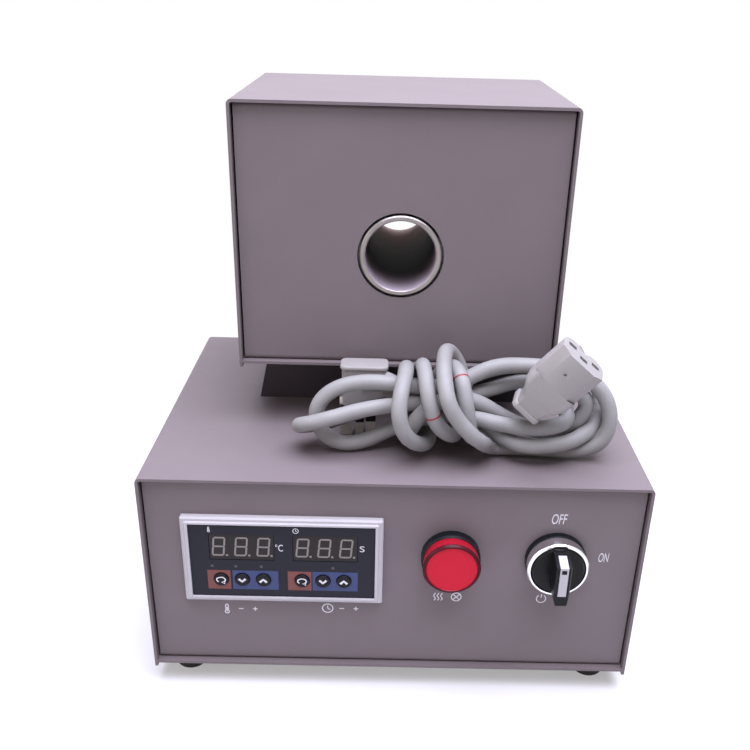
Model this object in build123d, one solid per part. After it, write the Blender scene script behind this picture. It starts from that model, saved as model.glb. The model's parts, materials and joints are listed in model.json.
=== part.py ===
from build123d import *
import math
import os

# A dental laboratory tube furnace: a furnace box with an open steel heating tube, on a controller box
# with a twin meter, an indicator lamp and a rotary power switch, and its mains lead in a hank.
# Millimetres. X is to the right, Y runs from front to back and Z is up from the plane of the feet.

# Sheet metal
SHEET = 1.4
BEND = 2.4
LIP = 3.0
SKIRT = 2.0
FLANGE = 12.0
TRAY_H = 16.0
SIDE_SCREW_RISE = 8.0
SIDE_SCREW_INSET = 28.0
PANEL_SIDE_GAP = 1.0

# Controller box
CASE_W = 240.0
CASE_D = 180.0
CASE_H = 110.0
FOOT_H = 12.0
FOOT_R = 8.0
FOOT_X = 105.0
FOOT_INSET = 17.0
KNOB_REACH = 22.5

# Furnace box and the neck under it
FURNACE_W = 158.0
FURNACE_D = 122.0
FURNACE_H = 128.0
NECK_H = 32.0
NECK_HALF_BOTTOM = 74.5
NECK_HALF_TOP = 67.5
NECK_SETBACK = 92.0
NECK_REAR_INSET = 20.0

# Heating tube and what lies round it
TUBE_R = 19.5
TUBE_BORE_R = 17.0
TUBE_HOLE_R = 20.7
TUBE_PROUD = 0.6
TUBE_DROP = 6.0
HEATER_R = 29.0
BLANKET_R = 52.0
BOARD_T = 8.0

# Where things sit on the front panel, from the middle of the case and from the feet
METER_X = -53.1
METER_Z = 76.0
METER_W = 96.0
METER_H = 48.0
LAMP_X = 27.4
LAMP_Z = 79.4
SWITCH_X = 77.9
SWITCH_Z = 79.0
INLET_X = 78.0
INLET_Z = 48.0
FUSE_X = 42.0
VENT_X = -48.0
VENT_Z = 62.0

# Meter: its case, its stepped rim, and what its window shows, measured from the meter's middle
METER_CASE_W = 91.5
METER_CASE_H = 44.5
METER_CASE_WALL = 2.0
METER_CASE_DEPTH = 72.0
RIM_T = 3.2
RAISED_T = 1.0
WINDOW_W = 88.6
WINDOW_H = 41.4
WINDOW_T = 1.5
BOARD_SPACE = 5.8
DISPLAY_W = 31.0
DISPLAY_H = 14.6
DISPLAY_Z = 7.7
DISPLAY_X = (-19.4, 20.4)
KEY_R = 3.5
KEY_X = (-30.0, -19.8, -9.6, 9.1, 19.2, 29.3)
KEY_Z = -10.8
KEY_PROUD = 1.0
KEY_TRAVEL = 0.5

# Lamp, rotary switch and the cam behind it: reaches are measured forward from the panel's face
BARREL_R = 11.0
NUT_R = 14.0
NUT_T = 5.0
LAMP_BASE_R = 14.2
LAMP_BASE_T = 4.9
LENS_R = 13.8
LENS_REACH = 12.0
LENS_FACE_R = 11.9
LENS_FLUTES = 30
SWITCH_BASE_R = 14.65
SWITCH_BASE_T = 3.7
CHROME_R = 14.6
CHROME_BORE_R = 12.8
CHROME_REACH = 10.2
DISC_R = 12.5
DISC_REACH = 10.8
BAR_HALF_W = 3.6
SPINDLE_R = 6.5
CAM_FRONT = 18.0
CAM_MEAN = 26.0
FOLLOWER_R = 5.0
FOLLOWER_TIP_R = 2.0
PLUNGER_TRAVEL = 3.0
CAM_GAP = 0.25

# Power inlet, fuse and vents
INLET_W = 50.0
INLET_H = 26.0
INLET_BODY_W = 30.0
INLET_BODY_H = 21.0
INLET_FLANGE_T = 3.0
INLET_SINK = 2.3
INLET_SCREW_X = 20.0
INLET_CAVITY_DEPTH = 16.0
FUSE_R = 6.0
VENT_COUNT = 10
VENT_W = 3.2
VENT_H = 34.0
VENT_PITCH = 9.0

# Wiring and fittings inside the two boxes
PROBE_R = 1.6
TAIL_R = 1.2
WIRE_R = 1.2
BLOCK_X = 62.0
BLOCK_Y = 36.0
LOOM_X = 36.0
LOOM_Y = BLOCK_Y
LOOM_R = 3.0
LOOM_BEND = 6.4
GROMMET_R = 6.5
STRIP_H = 17.0
RELAY_X = -58.0
RELAY_Y = 48.0

# Places that follow from the sizes above. The case is shifted so that the whole body, from the crest of
# the knob to the back of the case, is centred on the origin.
CASE_FRONT = KNOB_REACH / 2 - LIP / 2 - CASE_D / 2
CASE_REAR = CASE_FRONT + CASE_D
CASE_BOTTOM = FOOT_H - SKIRT
CASE_TOP = CASE_BOTTOM + CASE_H
PANEL_Y = CASE_FRONT + LIP
PANEL_BACK = PANEL_Y + SHEET
REAR_FACE = CASE_REAR - LIP
FURNACE_FRONT = CASE_REAR - FURNACE_D
FURNACE_BOTTOM = CASE_TOP + NECK_H
FURNACE_TOP = FURNACE_BOTTOM + FURNACE_H
FURNACE_FLOOR = FURNACE_BOTTOM + SKIRT
TUBE_Z = (FURNACE_BOTTOM + FURNACE_TOP) / 2 - TUBE_DROP
TUBE_FRONT = FURNACE_FRONT + LIP - TUBE_PROUD
TUBE_REAR = REAR_FACE + TUBE_PROUD
NECK_FRONT = CASE_FRONT + NECK_SETBACK
NECK_REAR = CASE_REAR - NECK_REAR_INSET
NECK_TOP = FURNACE_FLOOR
WINDOW_FRONT = PANEL_Y - RIM_T
WINDOW_BACK = WINDOW_FRONT + WINDOW_T
STRIP_Z = FOOT_H + SHEET

# Mains lead: the cord lies folded in a hank on the controller box. Its strands run side by side through
# the waist, in two columns and three rows, and its last length is wound round the waist.
CORD_R = 3.75
CORD_REST = CASE_TOP + CORD_R + 0.45
WAIST_LEFT = -2.0
WAIST_RIGHT = 43.0
WAIST_Y = -44.4
WAIST_Z = 142.4
WAIST_RISE = 4.5
COLUMN = 4.15
ROW = 8.1
# The winding leans. WRAP_X is its place along X at each quarter turn, from the top of its first turn.
WRAP_X = (-2.3, -5.8, -4.8, -2.1, 4.4, 3.8, 7.0, 10.3, 13.1, 15.4, 16.5, 21.8, 22.8, 23.5, 26.9, 30.4,
          31.2, 32.1, 40.0, 60.0)
WRAP_REAR = -27.5
WRAP_FRONTS = (-60.2, -66.5, -64.1, -59.4, -60.9, -60.9)
WRAP_TOPS = (160.9, 163.8, 168.0, 169.0, 167.6, 167.6)
WRAP_FIRST = 0.405
WRAP_TURNS = 4
TO_WRAP = (12.1, -52.3, 144.2)
FROM_WRAP = (53.5, -51.3)
# Each fold: side, reach along X, middle in Y and Z, radius, tilt from the level and which end comes first
FOLDS = (
    (1, 106.5, -47.9, 141.4, 17.6, 77.3, -1),
    (-1, -40.5, -47.2, 139.95, 15.7, 90.0, 1),
    (1, 89.5, -43.9, 144.5, 9.5, 57.0, -1),
    (-1, -52.4, -47.6, 133.2, 10.0, -26.0, -1),
    (1, 99.5, -37.0, 142.4, 19.3, 70.3, -1),
)
# The strand through the waist after each fold: column, row and where the strand leaves the waist
STRANDS = (
    (-1, 1, WAIST_LEFT),
    (-1, -1, WAIST_RIGHT),
    (1, 0, WAIST_LEFT),
    (1, -1, 34.0),
    (1, 1, 9.0),
)
CONNECTOR_AT = (58.33, -59.5, 150.25)
CONNECTOR_AXIS = (0.612, -0.191, 0.768)
CONNECTOR_WIDE = (0.753, -0.155, -0.639)
CONNECTOR_LENGTH = 36.8
CONNECTOR_SHOULDER = 16.0
CONTACT_PLACES = ((-7.0, 1.6), (0.0, -2.4), (7.0, 1.6))
CONTACT_DEPTH = 14.0
CORD_SEAT = 7.5
PLUG_AT = (-10.0, -35.0, 150.3)
PLUG_LEFT = -29.0
PLUG_FRONT = -37.8
PLUG_REAR = -24.8
PLUG_BOTTOM = 138.0
PLUG_RIM = 156.8
PLUG_TOP = 159.8
# Each pin of the plug: its middle along X, its width and its depth
PIN_PLACES = ((-25.2, 6.3, 4.0), (-18.4, 3.8, 6.4), (-12.9, 4.6, 4.0))
PIN_Y = -31.2
PIN_SOCKET = 4.0

# Screws: the gap round a shank keeps it clear of its hole
SCREW_R = 1.9
SCREW_HEAD_R = 3.6
SCREW_HEAD_H = 2.2
SCREW_GAP = 0.1


def block(x0, x1, y0, y1, z0, z1):
    """A box between two corners."""
    middle = Pos((x0 + x1) / 2, (y0 + y1) / 2, (z0 + z1) / 2)
    return middle * Box(x1 - x0, y1 - y0, z1 - z0)


def along_y(sketch, front, rear):
    """A sketch of X and Z, drawn out from the front plane to the rear one."""
    plane = Plane(origin=(0, rear, 0), x_dir=(1, 0, 0), z_dir=(0, -1, 0))
    return extrude(plane * sketch, rear - front)


def along_x(sketch, left, right):
    """A sketch of Y and Z, drawn out from the left plane to the right one."""
    plane = Plane(origin=(left, 0, 0), x_dir=(0, 1, 0), z_dir=(1, 0, 0))
    return extrude(plane * sketch, right - left)


def rod_y(x, z, radius, front, rear):
    """A round bar along Y."""
    return along_y(Pos(x, z) * Circle(radius), front, rear)


def rod_z(x, y, radius, bottom, top):
    """A round bar along Z."""
    return Pos(x, y, (bottom + top) / 2) * Cylinder(radius, top - bottom)


def rod_x(y, z, radius, left, right):
    """A round bar along X."""
    return along_x(Pos(y, z) * Circle(radius), left, right)


def turned(x, z, points):
    """A profile of (radius, y) points, turned about the line along Y through x and z."""
    plane = Plane(origin=(x, 0, z), x_dir=(1, 0, 0), z_dir=(0, 0, 1))
    profile = make_face(Polyline(*points, close=True))
    return revolve(plane * profile, Axis((x, 0, z), (0, 1, 0)), 360)


def group(solids):
    """Separate solids kept together as one named piece."""
    return Compound(children=list(solids))


def pan_screw(length):
    """A pan-head screw whose head sits on z = 0 and whose shank runs down from it."""
    head = Pos(0, 0, SCREW_HEAD_H / 2) * Cylinder(SCREW_HEAD_R, SCREW_HEAD_H)
    head = fillet(head.edges().group_by(Axis.Z)[-1], SCREW_HEAD_H * 0.45)
    recess = Pos(0, 0, SCREW_HEAD_H) * (Box(3.6, 0.8, 2.0) + Box(0.8, 3.6, 2.0))
    shank = Pos(0, 0, -length / 2) * Cylinder(SCREW_R, length)
    return head - recess + shank


# Sheet-metal boxes

def cover(width, bottom, top, screw_rows):
    """Inverted U of bent sheet with screw holes through both of its sides."""
    front, rear, floor_z = screw_rows
    middle = (bottom + top) / 2
    outline = Pos(0, middle) * Rectangle(width, top - bottom)
    outline = fillet(outline.vertices().group_by(Axis.Y)[-1], BEND)
    hollow = Pos(0, middle - SHEET / 2) * Rectangle(width - 2 * SHEET, top - bottom - SHEET)
    hollow = fillet(hollow.vertices().group_by(Axis.Y)[-1], BEND - SHEET)
    shell = along_y(outline - hollow, front, rear)
    for y in screw_places(front, rear):
        shell -= rod_x(y, floor_z, SCREW_R + SCREW_GAP, -width, width)
    return shell


def screw_places(front, rear):
    """Where the two screws of each side sit along Y."""
    return (front + SIDE_SCREW_INSET, rear - SIDE_SCREW_INSET)


def base_plate(width, front, rear, z):
    """Plate as deep as the cover, with a bent-up flange inside each of the cover's sides."""
    half = width / 2 - SHEET
    relief = LIP + SHEET + FLANGE + 2.0
    height = TRAY_H
    outline = Pos(0, z + height / 2) * Rectangle(2 * half, height)
    outline = fillet(outline.vertices().group_by(Axis.Y)[0], BEND)
    hollow = Pos(0, z + height / 2 + SHEET / 2) * Rectangle(2 * half - 2 * SHEET, height - SHEET)
    hollow = fillet(hollow.vertices().group_by(Axis.Y)[0], BEND - SHEET)
    plate = along_y(outline - hollow, front + relief, rear - relief)
    plate += block(-half, half, front, front + relief, z, z + SHEET)
    plate += block(-half, half, rear - relief, rear, z, z + SHEET)
    for y in screw_places(front, rear):
        plate -= rod_x(y, z + SHEET + SIDE_SCREW_RISE, SCREW_R + SCREW_GAP, -width, width)
    return plate


def panel(width, face, bottom, top, inward):
    """Upright panel with a flange bent back along its top and one along its bottom."""
    half = width / 2 - SHEET - PANEL_SIDE_GAP
    depth = FLANGE
    middle = Pos(face + inward * depth / 2, (bottom + top) / 2)
    outline = middle * Rectangle(depth, top - bottom)
    edge = 0 if inward > 0 else -1
    outline = fillet(outline.vertices().group_by(Axis.X)[edge], BEND)
    inner = Pos(inward * SHEET / 2, 0) * middle * Rectangle(depth - SHEET, top - bottom - 2 * SHEET)
    inner = fillet(inner.vertices().group_by(Axis.X)[edge], BEND - SHEET)
    return along_x(outline - inner, -half, half)


def panel_screw_places(width, face, inward):
    """Where a panel's bottom flange is screwed to the base plate."""
    reach = width / 2 - 40.0
    y = face + inward * (FLANGE - 4.5)
    return [(-reach, y), (reach, y)]


def controller_cover():
    shell = cover(CASE_W, CASE_BOTTOM, CASE_TOP, (CASE_FRONT, CASE_REAR, FOOT_H + SHEET + SIDE_SCREW_RISE))
    shell -= rod_z(LOOM_X, LOOM_Y, GROMMET_R, CASE_TOP - 5, CASE_TOP + 5)
    for x, y in neck_screw_places(NECK_HALF_BOTTOM):
        shell -= rod_z(x, y, SCREW_R + SCREW_GAP, CASE_TOP - 5, CASE_TOP + 5)
    return shell


def controller_base_plate():
    plate = base_plate(CASE_W, CASE_FRONT, CASE_REAR, FOOT_H)
    for x, y in foot_places():
        plate -= rod_z(x, y, SCREW_R + SCREW_GAP, FOOT_H - 1, FOOT_H + 5)
    for face, inward in ((PANEL_Y, 1), (REAR_FACE, -1)):
        for x, y in panel_screw_places(CASE_W, face, inward):
            plate -= rod_z(x, y, SCREW_R + SCREW_GAP, FOOT_H - 1, FOOT_H + 5)
    for x, y in relay_screw_places():
        plate -= rod_z(x, y, SCREW_R + SCREW_GAP, FOOT_H - 1, FOOT_H + 5)
    return plate


def controller_front_panel():
    sheet = panel(CASE_W, PANEL_Y, FOOT_H + SHEET, CASE_TOP - SHEET, 1)
    cut = METER_CASE_W + 0.4
    sheet -= block(METER_X - cut / 2, METER_X + cut / 2, PANEL_Y - 1, PANEL_BACK + 1,
                   METER_Z - METER_CASE_H / 2 - 0.2, METER_Z + METER_CASE_H / 2 + 0.2)
    sheet -= rod_y(LAMP_X, LAMP_Z, BARREL_R + 0.2, PANEL_Y - 1, PANEL_BACK + 1)
    sheet -= rod_y(SWITCH_X, SWITCH_Z, BARREL_R + 0.2, PANEL_Y - 1, PANEL_BACK + 1)
    for x, y in panel_screw_places(CASE_W, PANEL_Y, 1):
        sheet -= rod_z(x, y, SCREW_R + SCREW_GAP, FOOT_H, FOOT_H + 5)
    return sheet


def controller_rear_panel():
    sheet = panel(CASE_W, REAR_FACE, FOOT_H + SHEET, CASE_TOP - SHEET, -1)
    sheet -= block(INLET_X - INLET_BODY_W / 2 - 0.2, INLET_X + INLET_BODY_W / 2 + 0.2, REAR_FACE - 5,
                   REAR_FACE + 5, INLET_Z - INLET_BODY_H / 2 - 0.2, INLET_Z + INLET_BODY_H / 2 + 0.2)
    sheet -= rod_y(FUSE_X, INLET_Z, FUSE_R + 0.2, REAR_FACE - 5, REAR_FACE + 5)
    for side in (-1, 1):
        sheet -= rod_y(INLET_X + side * INLET_SCREW_X, INLET_Z, SCREW_R + SCREW_GAP,
                       REAR_FACE - 5, REAR_FACE + 5)
    slot = SlotCenterToCenter(VENT_H - VENT_W, VENT_W, rotation=90)
    for i in range(VENT_COUNT):
        x = VENT_X + (i - (VENT_COUNT - 1) / 2) * VENT_PITCH
        sheet -= along_y(Pos(x, VENT_Z) * slot, REAR_FACE - 5, REAR_FACE + 5)
    for x, y in panel_screw_places(CASE_W, REAR_FACE, -1):
        sheet -= rod_z(x, y, SCREW_R + SCREW_GAP, FOOT_H, FOOT_H + 5)
    return sheet


def foot_places():
    return [(x, y) for x in (-FOOT_X, FOOT_X) for y in (CASE_FRONT + FOOT_INSET, CASE_REAR - FOOT_INSET)]


def rubber_feet():
    """Four turned feet, each with a recess that hides its screw's head."""
    feet = []
    for x, y in foot_places():
        foot = rod_z(x, y, FOOT_R, 0, FOOT_H)
        foot = fillet(foot.edges().group_by(Axis.Z)[0], 1.6)
        foot -= rod_z(x, y, SCREW_HEAD_R + 0.3, -1, 5.0)
        foot -= rod_z(x, y, SCREW_R + SCREW_GAP, 0, FOOT_H + 1)
        feet.append(foot)
    return group(feet)


def foot_screws():
    return group(Pos(x, y, 5.0) * Rot(180, 0, 0) * pan_screw(FOOT_H - 5.0 + SHEET + 3.0)
                 for x, y in foot_places())


def cover_screws():
    """Two screws in each side of each box."""
    boxes = ((CASE_W, CASE_FRONT, CASE_REAR, FOOT_H), (FURNACE_W, FURNACE_FRONT, CASE_REAR, FURNACE_FLOOR))
    screws = []
    for width, front, rear, floor_z in boxes:
        for y in screw_places(front, rear):
            for side in (-1, 1):
                place = Pos(side * width / 2, y, floor_z + SHEET + SIDE_SCREW_RISE) * Rot(0, side * 90, 0)
                screws.append(place * pan_screw(6.0))
    return group(screws)


def panel_screws():
    """Screws up through the base plates into the panels' bottom flanges, and into the relay."""
    screws = []
    length = 2 * SHEET + 2.0
    for width, floor_z, faces in ((CASE_W, FOOT_H, (PANEL_Y, REAR_FACE)),
                                  (FURNACE_W, FURNACE_FLOOR, (FURNACE_FRONT + LIP, REAR_FACE))):
        for face, inward in zip(faces, (1, -1)):
            for x, y in panel_screw_places(width, face, inward):
                screws.append(Pos(x, y, floor_z) * Rot(180, 0, 0) * pan_screw(length))
    for x, y in relay_screw_places():
        screws.append(Pos(x, y, FOOT_H) * Rot(180, 0, 0) * pan_screw(length))
    return group(screws)


# Furnace box

def furnace_cover():
    return cover(FURNACE_W, FURNACE_BOTTOM, FURNACE_TOP,
                 (FURNACE_FRONT, CASE_REAR, FURNACE_FLOOR + SHEET + SIDE_SCREW_RISE))


def furnace_base_plate():
    plate = base_plate(FURNACE_W, FURNACE_FRONT, CASE_REAR, FURNACE_FLOOR)
    plate -= rod_z(LOOM_X, LOOM_Y, GROMMET_R, FURNACE_FLOOR - 5, FURNACE_FLOOR + 5)
    for x, y in neck_screw_places(NECK_HALF_TOP):
        plate -= rod_z(x, y, SCREW_R + SCREW_GAP, FURNACE_FLOOR - 5, FURNACE_FLOOR + 5)
    for face, inward in ((FURNACE_FRONT + LIP, 1), (REAR_FACE, -1)):
        for x, y in panel_screw_places(FURNACE_W, face, inward):
            plate -= rod_z(x, y, SCREW_R + SCREW_GAP, FURNACE_FLOOR - 5, FURNACE_FLOOR + 5)
    return plate


def furnace_panel(face, inward):
    sheet = panel(FURNACE_W, face, FURNACE_FLOOR + SHEET, FURNACE_TOP - SHEET, inward)
    sheet -= rod_y(0, TUBE_Z, TUBE_HOLE_R, face - 5, face + 5)
    for x, y in panel_screw_places(FURNACE_W, face, inward):
        sheet -= rod_z(x, y, SCREW_R + SCREW_GAP, FURNACE_FLOOR, FURNACE_FLOOR + 5)
    return sheet


def neck_screw_places(half):
    x = half - 8.0
    return [(sx, y) for sx in (-x, x) for y in (NECK_FRONT + 7.0, NECK_REAR - 7.0)]


def neck():
    """Pedestal of folded sheet whose sides lean in, with flanges turned in at its top and bottom."""
    def ring(inset, z):
        share = (z - CASE_TOP) / (NECK_TOP - CASE_TOP)
        half = NECK_HALF_BOTTOM + (NECK_HALF_TOP - NECK_HALF_BOTTOM) * share - inset
        depth = NECK_REAR - NECK_FRONT - 2 * inset
        centre = Pos(0, (NECK_FRONT + NECK_REAR) / 2, z)
        return centre * Rectangle(2 * half, depth)

    wall = loft([ring(0, CASE_TOP), ring(0, NECK_TOP)])
    wall -= loft([ring(SHEET, CASE_TOP + SHEET), ring(SHEET, NECK_TOP - SHEET)])
    opening = loft([ring(SHEET + 14.0, CASE_TOP), ring(SHEET + 14.0, NECK_TOP)])
    wall -= opening
    for x, y in neck_screw_places(NECK_HALF_BOTTOM):
        wall -= rod_z(x, y, SCREW_R + SCREW_GAP, CASE_TOP - 1, CASE_TOP + 4)
    for x, y in neck_screw_places(NECK_HALF_TOP):
        wall -= rod_z(x, y, SCREW_R + SCREW_GAP, NECK_TOP - 4, NECK_TOP + 1)
    return wall


def neck_screws():
    """Four screws down into the controller's cover and four up into the furnace's base plate."""
    down = [Pos(x, y, CASE_TOP + SHEET) * pan_screw(2 * SHEET + 2.0)
            for x, y in neck_screw_places(NECK_HALF_BOTTOM)]
    up = [Pos(x, y, NECK_TOP - SHEET) * Rot(180, 0, 0) * pan_screw(2 * SHEET + 2.0)
          for x, y in neck_screw_places(NECK_HALF_TOP)]
    return group(down + up)


def heating_tube():
    chamfer = 0.5
    return turned(0, TUBE_Z, [
        (TUBE_BORE_R, TUBE_FRONT + chamfer), (TUBE_BORE_R + chamfer, TUBE_FRONT),
        (TUBE_R - chamfer, TUBE_FRONT), (TUBE_R, TUBE_FRONT + chamfer),
        (TUBE_R, TUBE_REAR - chamfer), (TUBE_R - chamfer, TUBE_REAR),
        (TUBE_BORE_R + chamfer, TUBE_REAR), (TUBE_BORE_R, TUBE_REAR - chamfer)])


def heater_span():
    """Front and rear of the heater, between the two insulation boards."""
    return bracket_front() + SHEET + BOARD_T, bracket_rear() - SHEET - BOARD_T


def bracket_front():
    return FURNACE_FRONT + LIP + FLANGE + 1.0


def bracket_rear():
    return REAR_FACE - FLANGE - 1.0


def ceramic_heater():
    """Ceramic sleeve on the tube with a collar at each end that keeps its winding in."""
    front, rear = heater_span()
    collar = 6.0
    step = 2.5
    sleeve = turned(0, TUBE_Z, [
        (TUBE_R, front), (HEATER_R, front), (HEATER_R, front + collar),
        (HEATER_R - step, front + collar), (HEATER_R - step, rear - collar),
        (HEATER_R, rear - collar), (HEATER_R, rear), (TUBE_R, rear)])
    return sleeve - rod_z(0, (front + rear) / 2, PROBE_R + SCREW_GAP, TUBE_Z + HEATER_R - 6.0, TUBE_Z + 40)


def insulation_blanket():
    """Fibre wrap with a slit at its right, where the heater's tails come out."""
    front, rear = heater_span()
    wrap = turned(0, TUBE_Z, [(HEATER_R, front), (BLANKET_R, front), (BLANKET_R, rear), (HEATER_R, rear)])
    wrap -= block(0, BLANKET_R + 1, front - 1, rear + 1, TUBE_Z - 3.0, TUBE_Z + 3.0)
    wrap -= rod_z(0, (front + rear) / 2, PROBE_R + SCREW_GAP, TUBE_Z + 10, TUBE_Z + 60)
    return wrap


def insulation_boards():
    """A board at each end of the heater, between it and the bracket."""
    boards = []
    for front in (bracket_front() + SHEET, bracket_rear() - SHEET - BOARD_T):
        board = block(-BLANKET_R - 6, BLANKET_R + 6, front, front + BOARD_T,
                      FURNACE_FLOOR + 2 * SHEET, TUBE_Z + BLANKET_R + 6)
        boards.append(board - rod_y(0, TUBE_Z, TUBE_R, front - 1, front + BOARD_T + 1))
    return group(boards)


def tube_brackets():
    """Two bent brackets that stand on the furnace's base plate and carry the tube."""
    brackets = []
    foot_z = FURNACE_FLOOR + SHEET
    for face, inward in ((bracket_front(), 1), (bracket_rear(), -1)):
        low, high = sorted((face, face + inward * SHEET))
        outline = Pos(0, (foot_z + TUBE_Z) / 2) * Rectangle(80, TUBE_Z - foot_z)
        outline += Pos(0, TUBE_Z) * Circle(34)
        upright = along_y(outline - Pos(0, TUBE_Z) * Circle(TUBE_R), low, high)
        low, high = sorted((face, face + inward * 18.0))
        upright += block(-40, 40, low, high, foot_z, foot_z + SHEET)
        brackets.append(upright)
    return group(brackets)


def thermocouple():
    """Sheathed probe that reaches down to the heater, with a hexagonal head on top of the wrap."""
    front, rear = heater_span()
    y = (front + rear) / 2
    top = TUBE_Z + BLANKET_R
    probe = rod_z(0, y, PROBE_R, TUBE_Z + HEATER_R - 5.5, top + 1)
    head = Pos(0, y, top) * extrude(RegularPolygon(5.0, 6), 7.0)
    return probe + head + rod_z(0, y, 3.0, top + 7.0, top + 12.0)


def ceramic_terminal_block():
    """Two-way steatite block whose screws are reached from above."""
    z = FURNACE_FLOOR + SHEET
    body = block(BLOCK_X - 10, BLOCK_X + 10, BLOCK_Y - 14, BLOCK_Y + 14, z, z + 16)
    body = chamfer(body.edges().filter_by(Axis.Z), 1.5)
    body -= block(BLOCK_X - 11, BLOCK_X + 11, BLOCK_Y - 1.5, BLOCK_Y + 1.5, z + 8, z + 17)
    for y in (BLOCK_Y - 9, BLOCK_Y + 9):
        for x in (BLOCK_X - 5, BLOCK_X + 5):
            body -= rod_z(x, y, 2.2, z + 9, z + 17)
    return body


def heater_tails():
    """Two bare tails, from the heater out through the wrap's slit and down to the terminal block."""
    tails = []
    for y in (BLOCK_Y - 9, BLOCK_Y + 9):
        top = FURNACE_FLOOR + SHEET + 16
        path = FilletPolyline((HEATER_R - 2.5, y, TUBE_Z), (BLOCK_X - 5, y, TUBE_Z), (BLOCK_X - 5, y, top),
                              radius=6.0)
        start = Plane(origin=(HEATER_R - 2.5, y, TUBE_Z), z_dir=(1, 0, 0))
        tails.append(sweep(start * Circle(TAIL_R), path=path))
    return group(tails)


def heater_loom():
    """Sleeved leads from the terminal block down through both grommets to the terminal strip."""
    z = FURNACE_FLOOR + SHEET + 9.0
    start = (BLOCK_X - 10, LOOM_Y, z)
    path = FilletPolyline(start, (LOOM_X, LOOM_Y, z), (LOOM_X, LOOM_Y, STRIP_Z + STRIP_H),
                          radius=LOOM_BEND)
    return sweep(Plane(origin=start, z_dir=(-1, 0, 0)) * Circle(LOOM_R), path=path)


def grommets():
    """Rubber rings in the controller's cover and in the furnace's base plate."""
    rings = []
    for z in (CASE_TOP - SHEET, FURNACE_FLOOR):
        points = [(LOOM_R + 0.4, -1.6), (GROMMET_R + 2, -1.6), (GROMMET_R + 2, 0), (GROMMET_R, 0),
                  (GROMMET_R, SHEET), (GROMMET_R + 2, SHEET), (GROMMET_R + 2, SHEET + 1.6),
                  (LOOM_R + 0.4, SHEET + 1.6)]
        face = make_face(Polyline(*points, close=True))
        ring = revolve(Plane.XZ * face, Axis.Z, 360)
        rings.append(Pos(LOOM_X, LOOM_Y, z) * ring)
    return group(rings)


# Controller fittings behind the panels

def relay_screw_places():
    return [(RELAY_X, RELAY_Y - 24), (RELAY_X, RELAY_Y + 24)]


def solid_state_relay():
    """Block relay on its metal base, with four screw terminals in stepped corners."""
    z = FOOT_H + SHEET
    body = block(RELAY_X - 22.5, RELAY_X + 22.5, RELAY_Y - 29, RELAY_Y + 29, z, z + 23)
    for x in (-1, 1):
        for y in (-1, 1):
            corner = Pos(RELAY_X + x * 15, RELAY_Y + y * 23, z + 19)
            body -= corner * Box(16, 13, 9)
            body += corner * Pos(0, 0, -4) * Cylinder(3.6, 2.4)
    for x, y in relay_screw_places():
        body -= rod_z(x, y, SCREW_R + SCREW_GAP, z - 1, z + 6)
    return body


def terminal_strip():
    """Barrier strip of six ways, under the loom."""
    ways = 6
    pitch = 9.5
    length = ways * pitch
    body = block(LOOM_X - length / 2, LOOM_X + length / 2, LOOM_Y - 11, LOOM_Y + 11, STRIP_Z, STRIP_Z + 9)
    for i in range(ways + 1):
        x = LOOM_X + (i - ways / 2) * pitch
        body += block(x - 0.9, x + 0.9, LOOM_Y - 11, LOOM_Y + 11, STRIP_Z, STRIP_Z + 15)
    body += block(LOOM_X - length / 2, LOOM_X + length / 2, LOOM_Y - 4, LOOM_Y + 4, STRIP_Z, STRIP_Z + STRIP_H)
    return body


# Meter

def rounded(x, z, width, height, radius):
    return Pos(x, z) * RectangleRounded(width, height, radius)


def meter_bezel():
    """Frame with a stepped rim: a flange on the panel, a raised inner frame and the window's seat."""
    flange = along_y(rounded(METER_X, METER_Z, METER_W, METER_H, 1.0), WINDOW_FRONT, PANEL_Y)
    flange = chamfer(flange.faces().sort_by(Axis.Y)[0].edges(), 0.8)
    raised = along_y(rounded(METER_X, METER_Z, METER_W - 4.0, METER_H - 4.0, 0.8),
                     WINDOW_FRONT - RAISED_T, WINDOW_FRONT + 1)
    raised = chamfer(raised.faces().sort_by(Axis.Y)[0].edges(), 0.4)
    frame = flange + raised
    frame -= along_y(Pos(METER_X, METER_Z) * Rectangle(WINDOW_W, WINDOW_H), WINDOW_FRONT - 5, WINDOW_BACK)
    frame -= along_y(Pos(METER_X, METER_Z) * Rectangle(WINDOW_W - 3, WINDOW_H - 3), WINDOW_FRONT, PANEL_Y + 1)
    return frame


def meter_window():
    """Dark sheet with an opening for each display and a hole for each key."""
    sheet = along_y(Pos(METER_X, METER_Z) * Rectangle(WINDOW_W, WINDOW_H), WINDOW_FRONT, WINDOW_BACK)
    for x in DISPLAY_X:
        sheet -= along_y(Pos(METER_X + x, METER_Z + DISPLAY_Z) * Rectangle(DISPLAY_W, DISPLAY_H),
                         WINDOW_FRONT - 1, WINDOW_BACK + 1)
    for x in KEY_X:
        sheet -= rod_y(METER_X + x, METER_Z + KEY_Z, KEY_R + 0.3, WINDOW_FRONT - 1, WINDOW_BACK + 1)
    return sheet


def meter_case():
    """Open-fronted sleeve behind the panel, closed by a back wall with a slot for its terminals."""
    rear = PANEL_Y + METER_CASE_DEPTH
    outer = along_y(rounded(METER_X, METER_Z, METER_CASE_W, METER_CASE_H, 1.5), PANEL_Y, rear)
    inner = Rectangle(METER_CASE_W - 2 * METER_CASE_WALL, METER_CASE_H - 2 * METER_CASE_WALL)
    outer -= along_y(Pos(METER_X, METER_Z) * inner, PANEL_Y - 1, rear - METER_CASE_WALL)
    outer += block(METER_X - 40, METER_X + 40, rear, rear + 5, METER_Z - 15, METER_Z - 3)
    outer += block(METER_X - 40, METER_X + 40, rear, rear + 5, METER_Z + 3, METER_Z + 15)
    return outer


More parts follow.
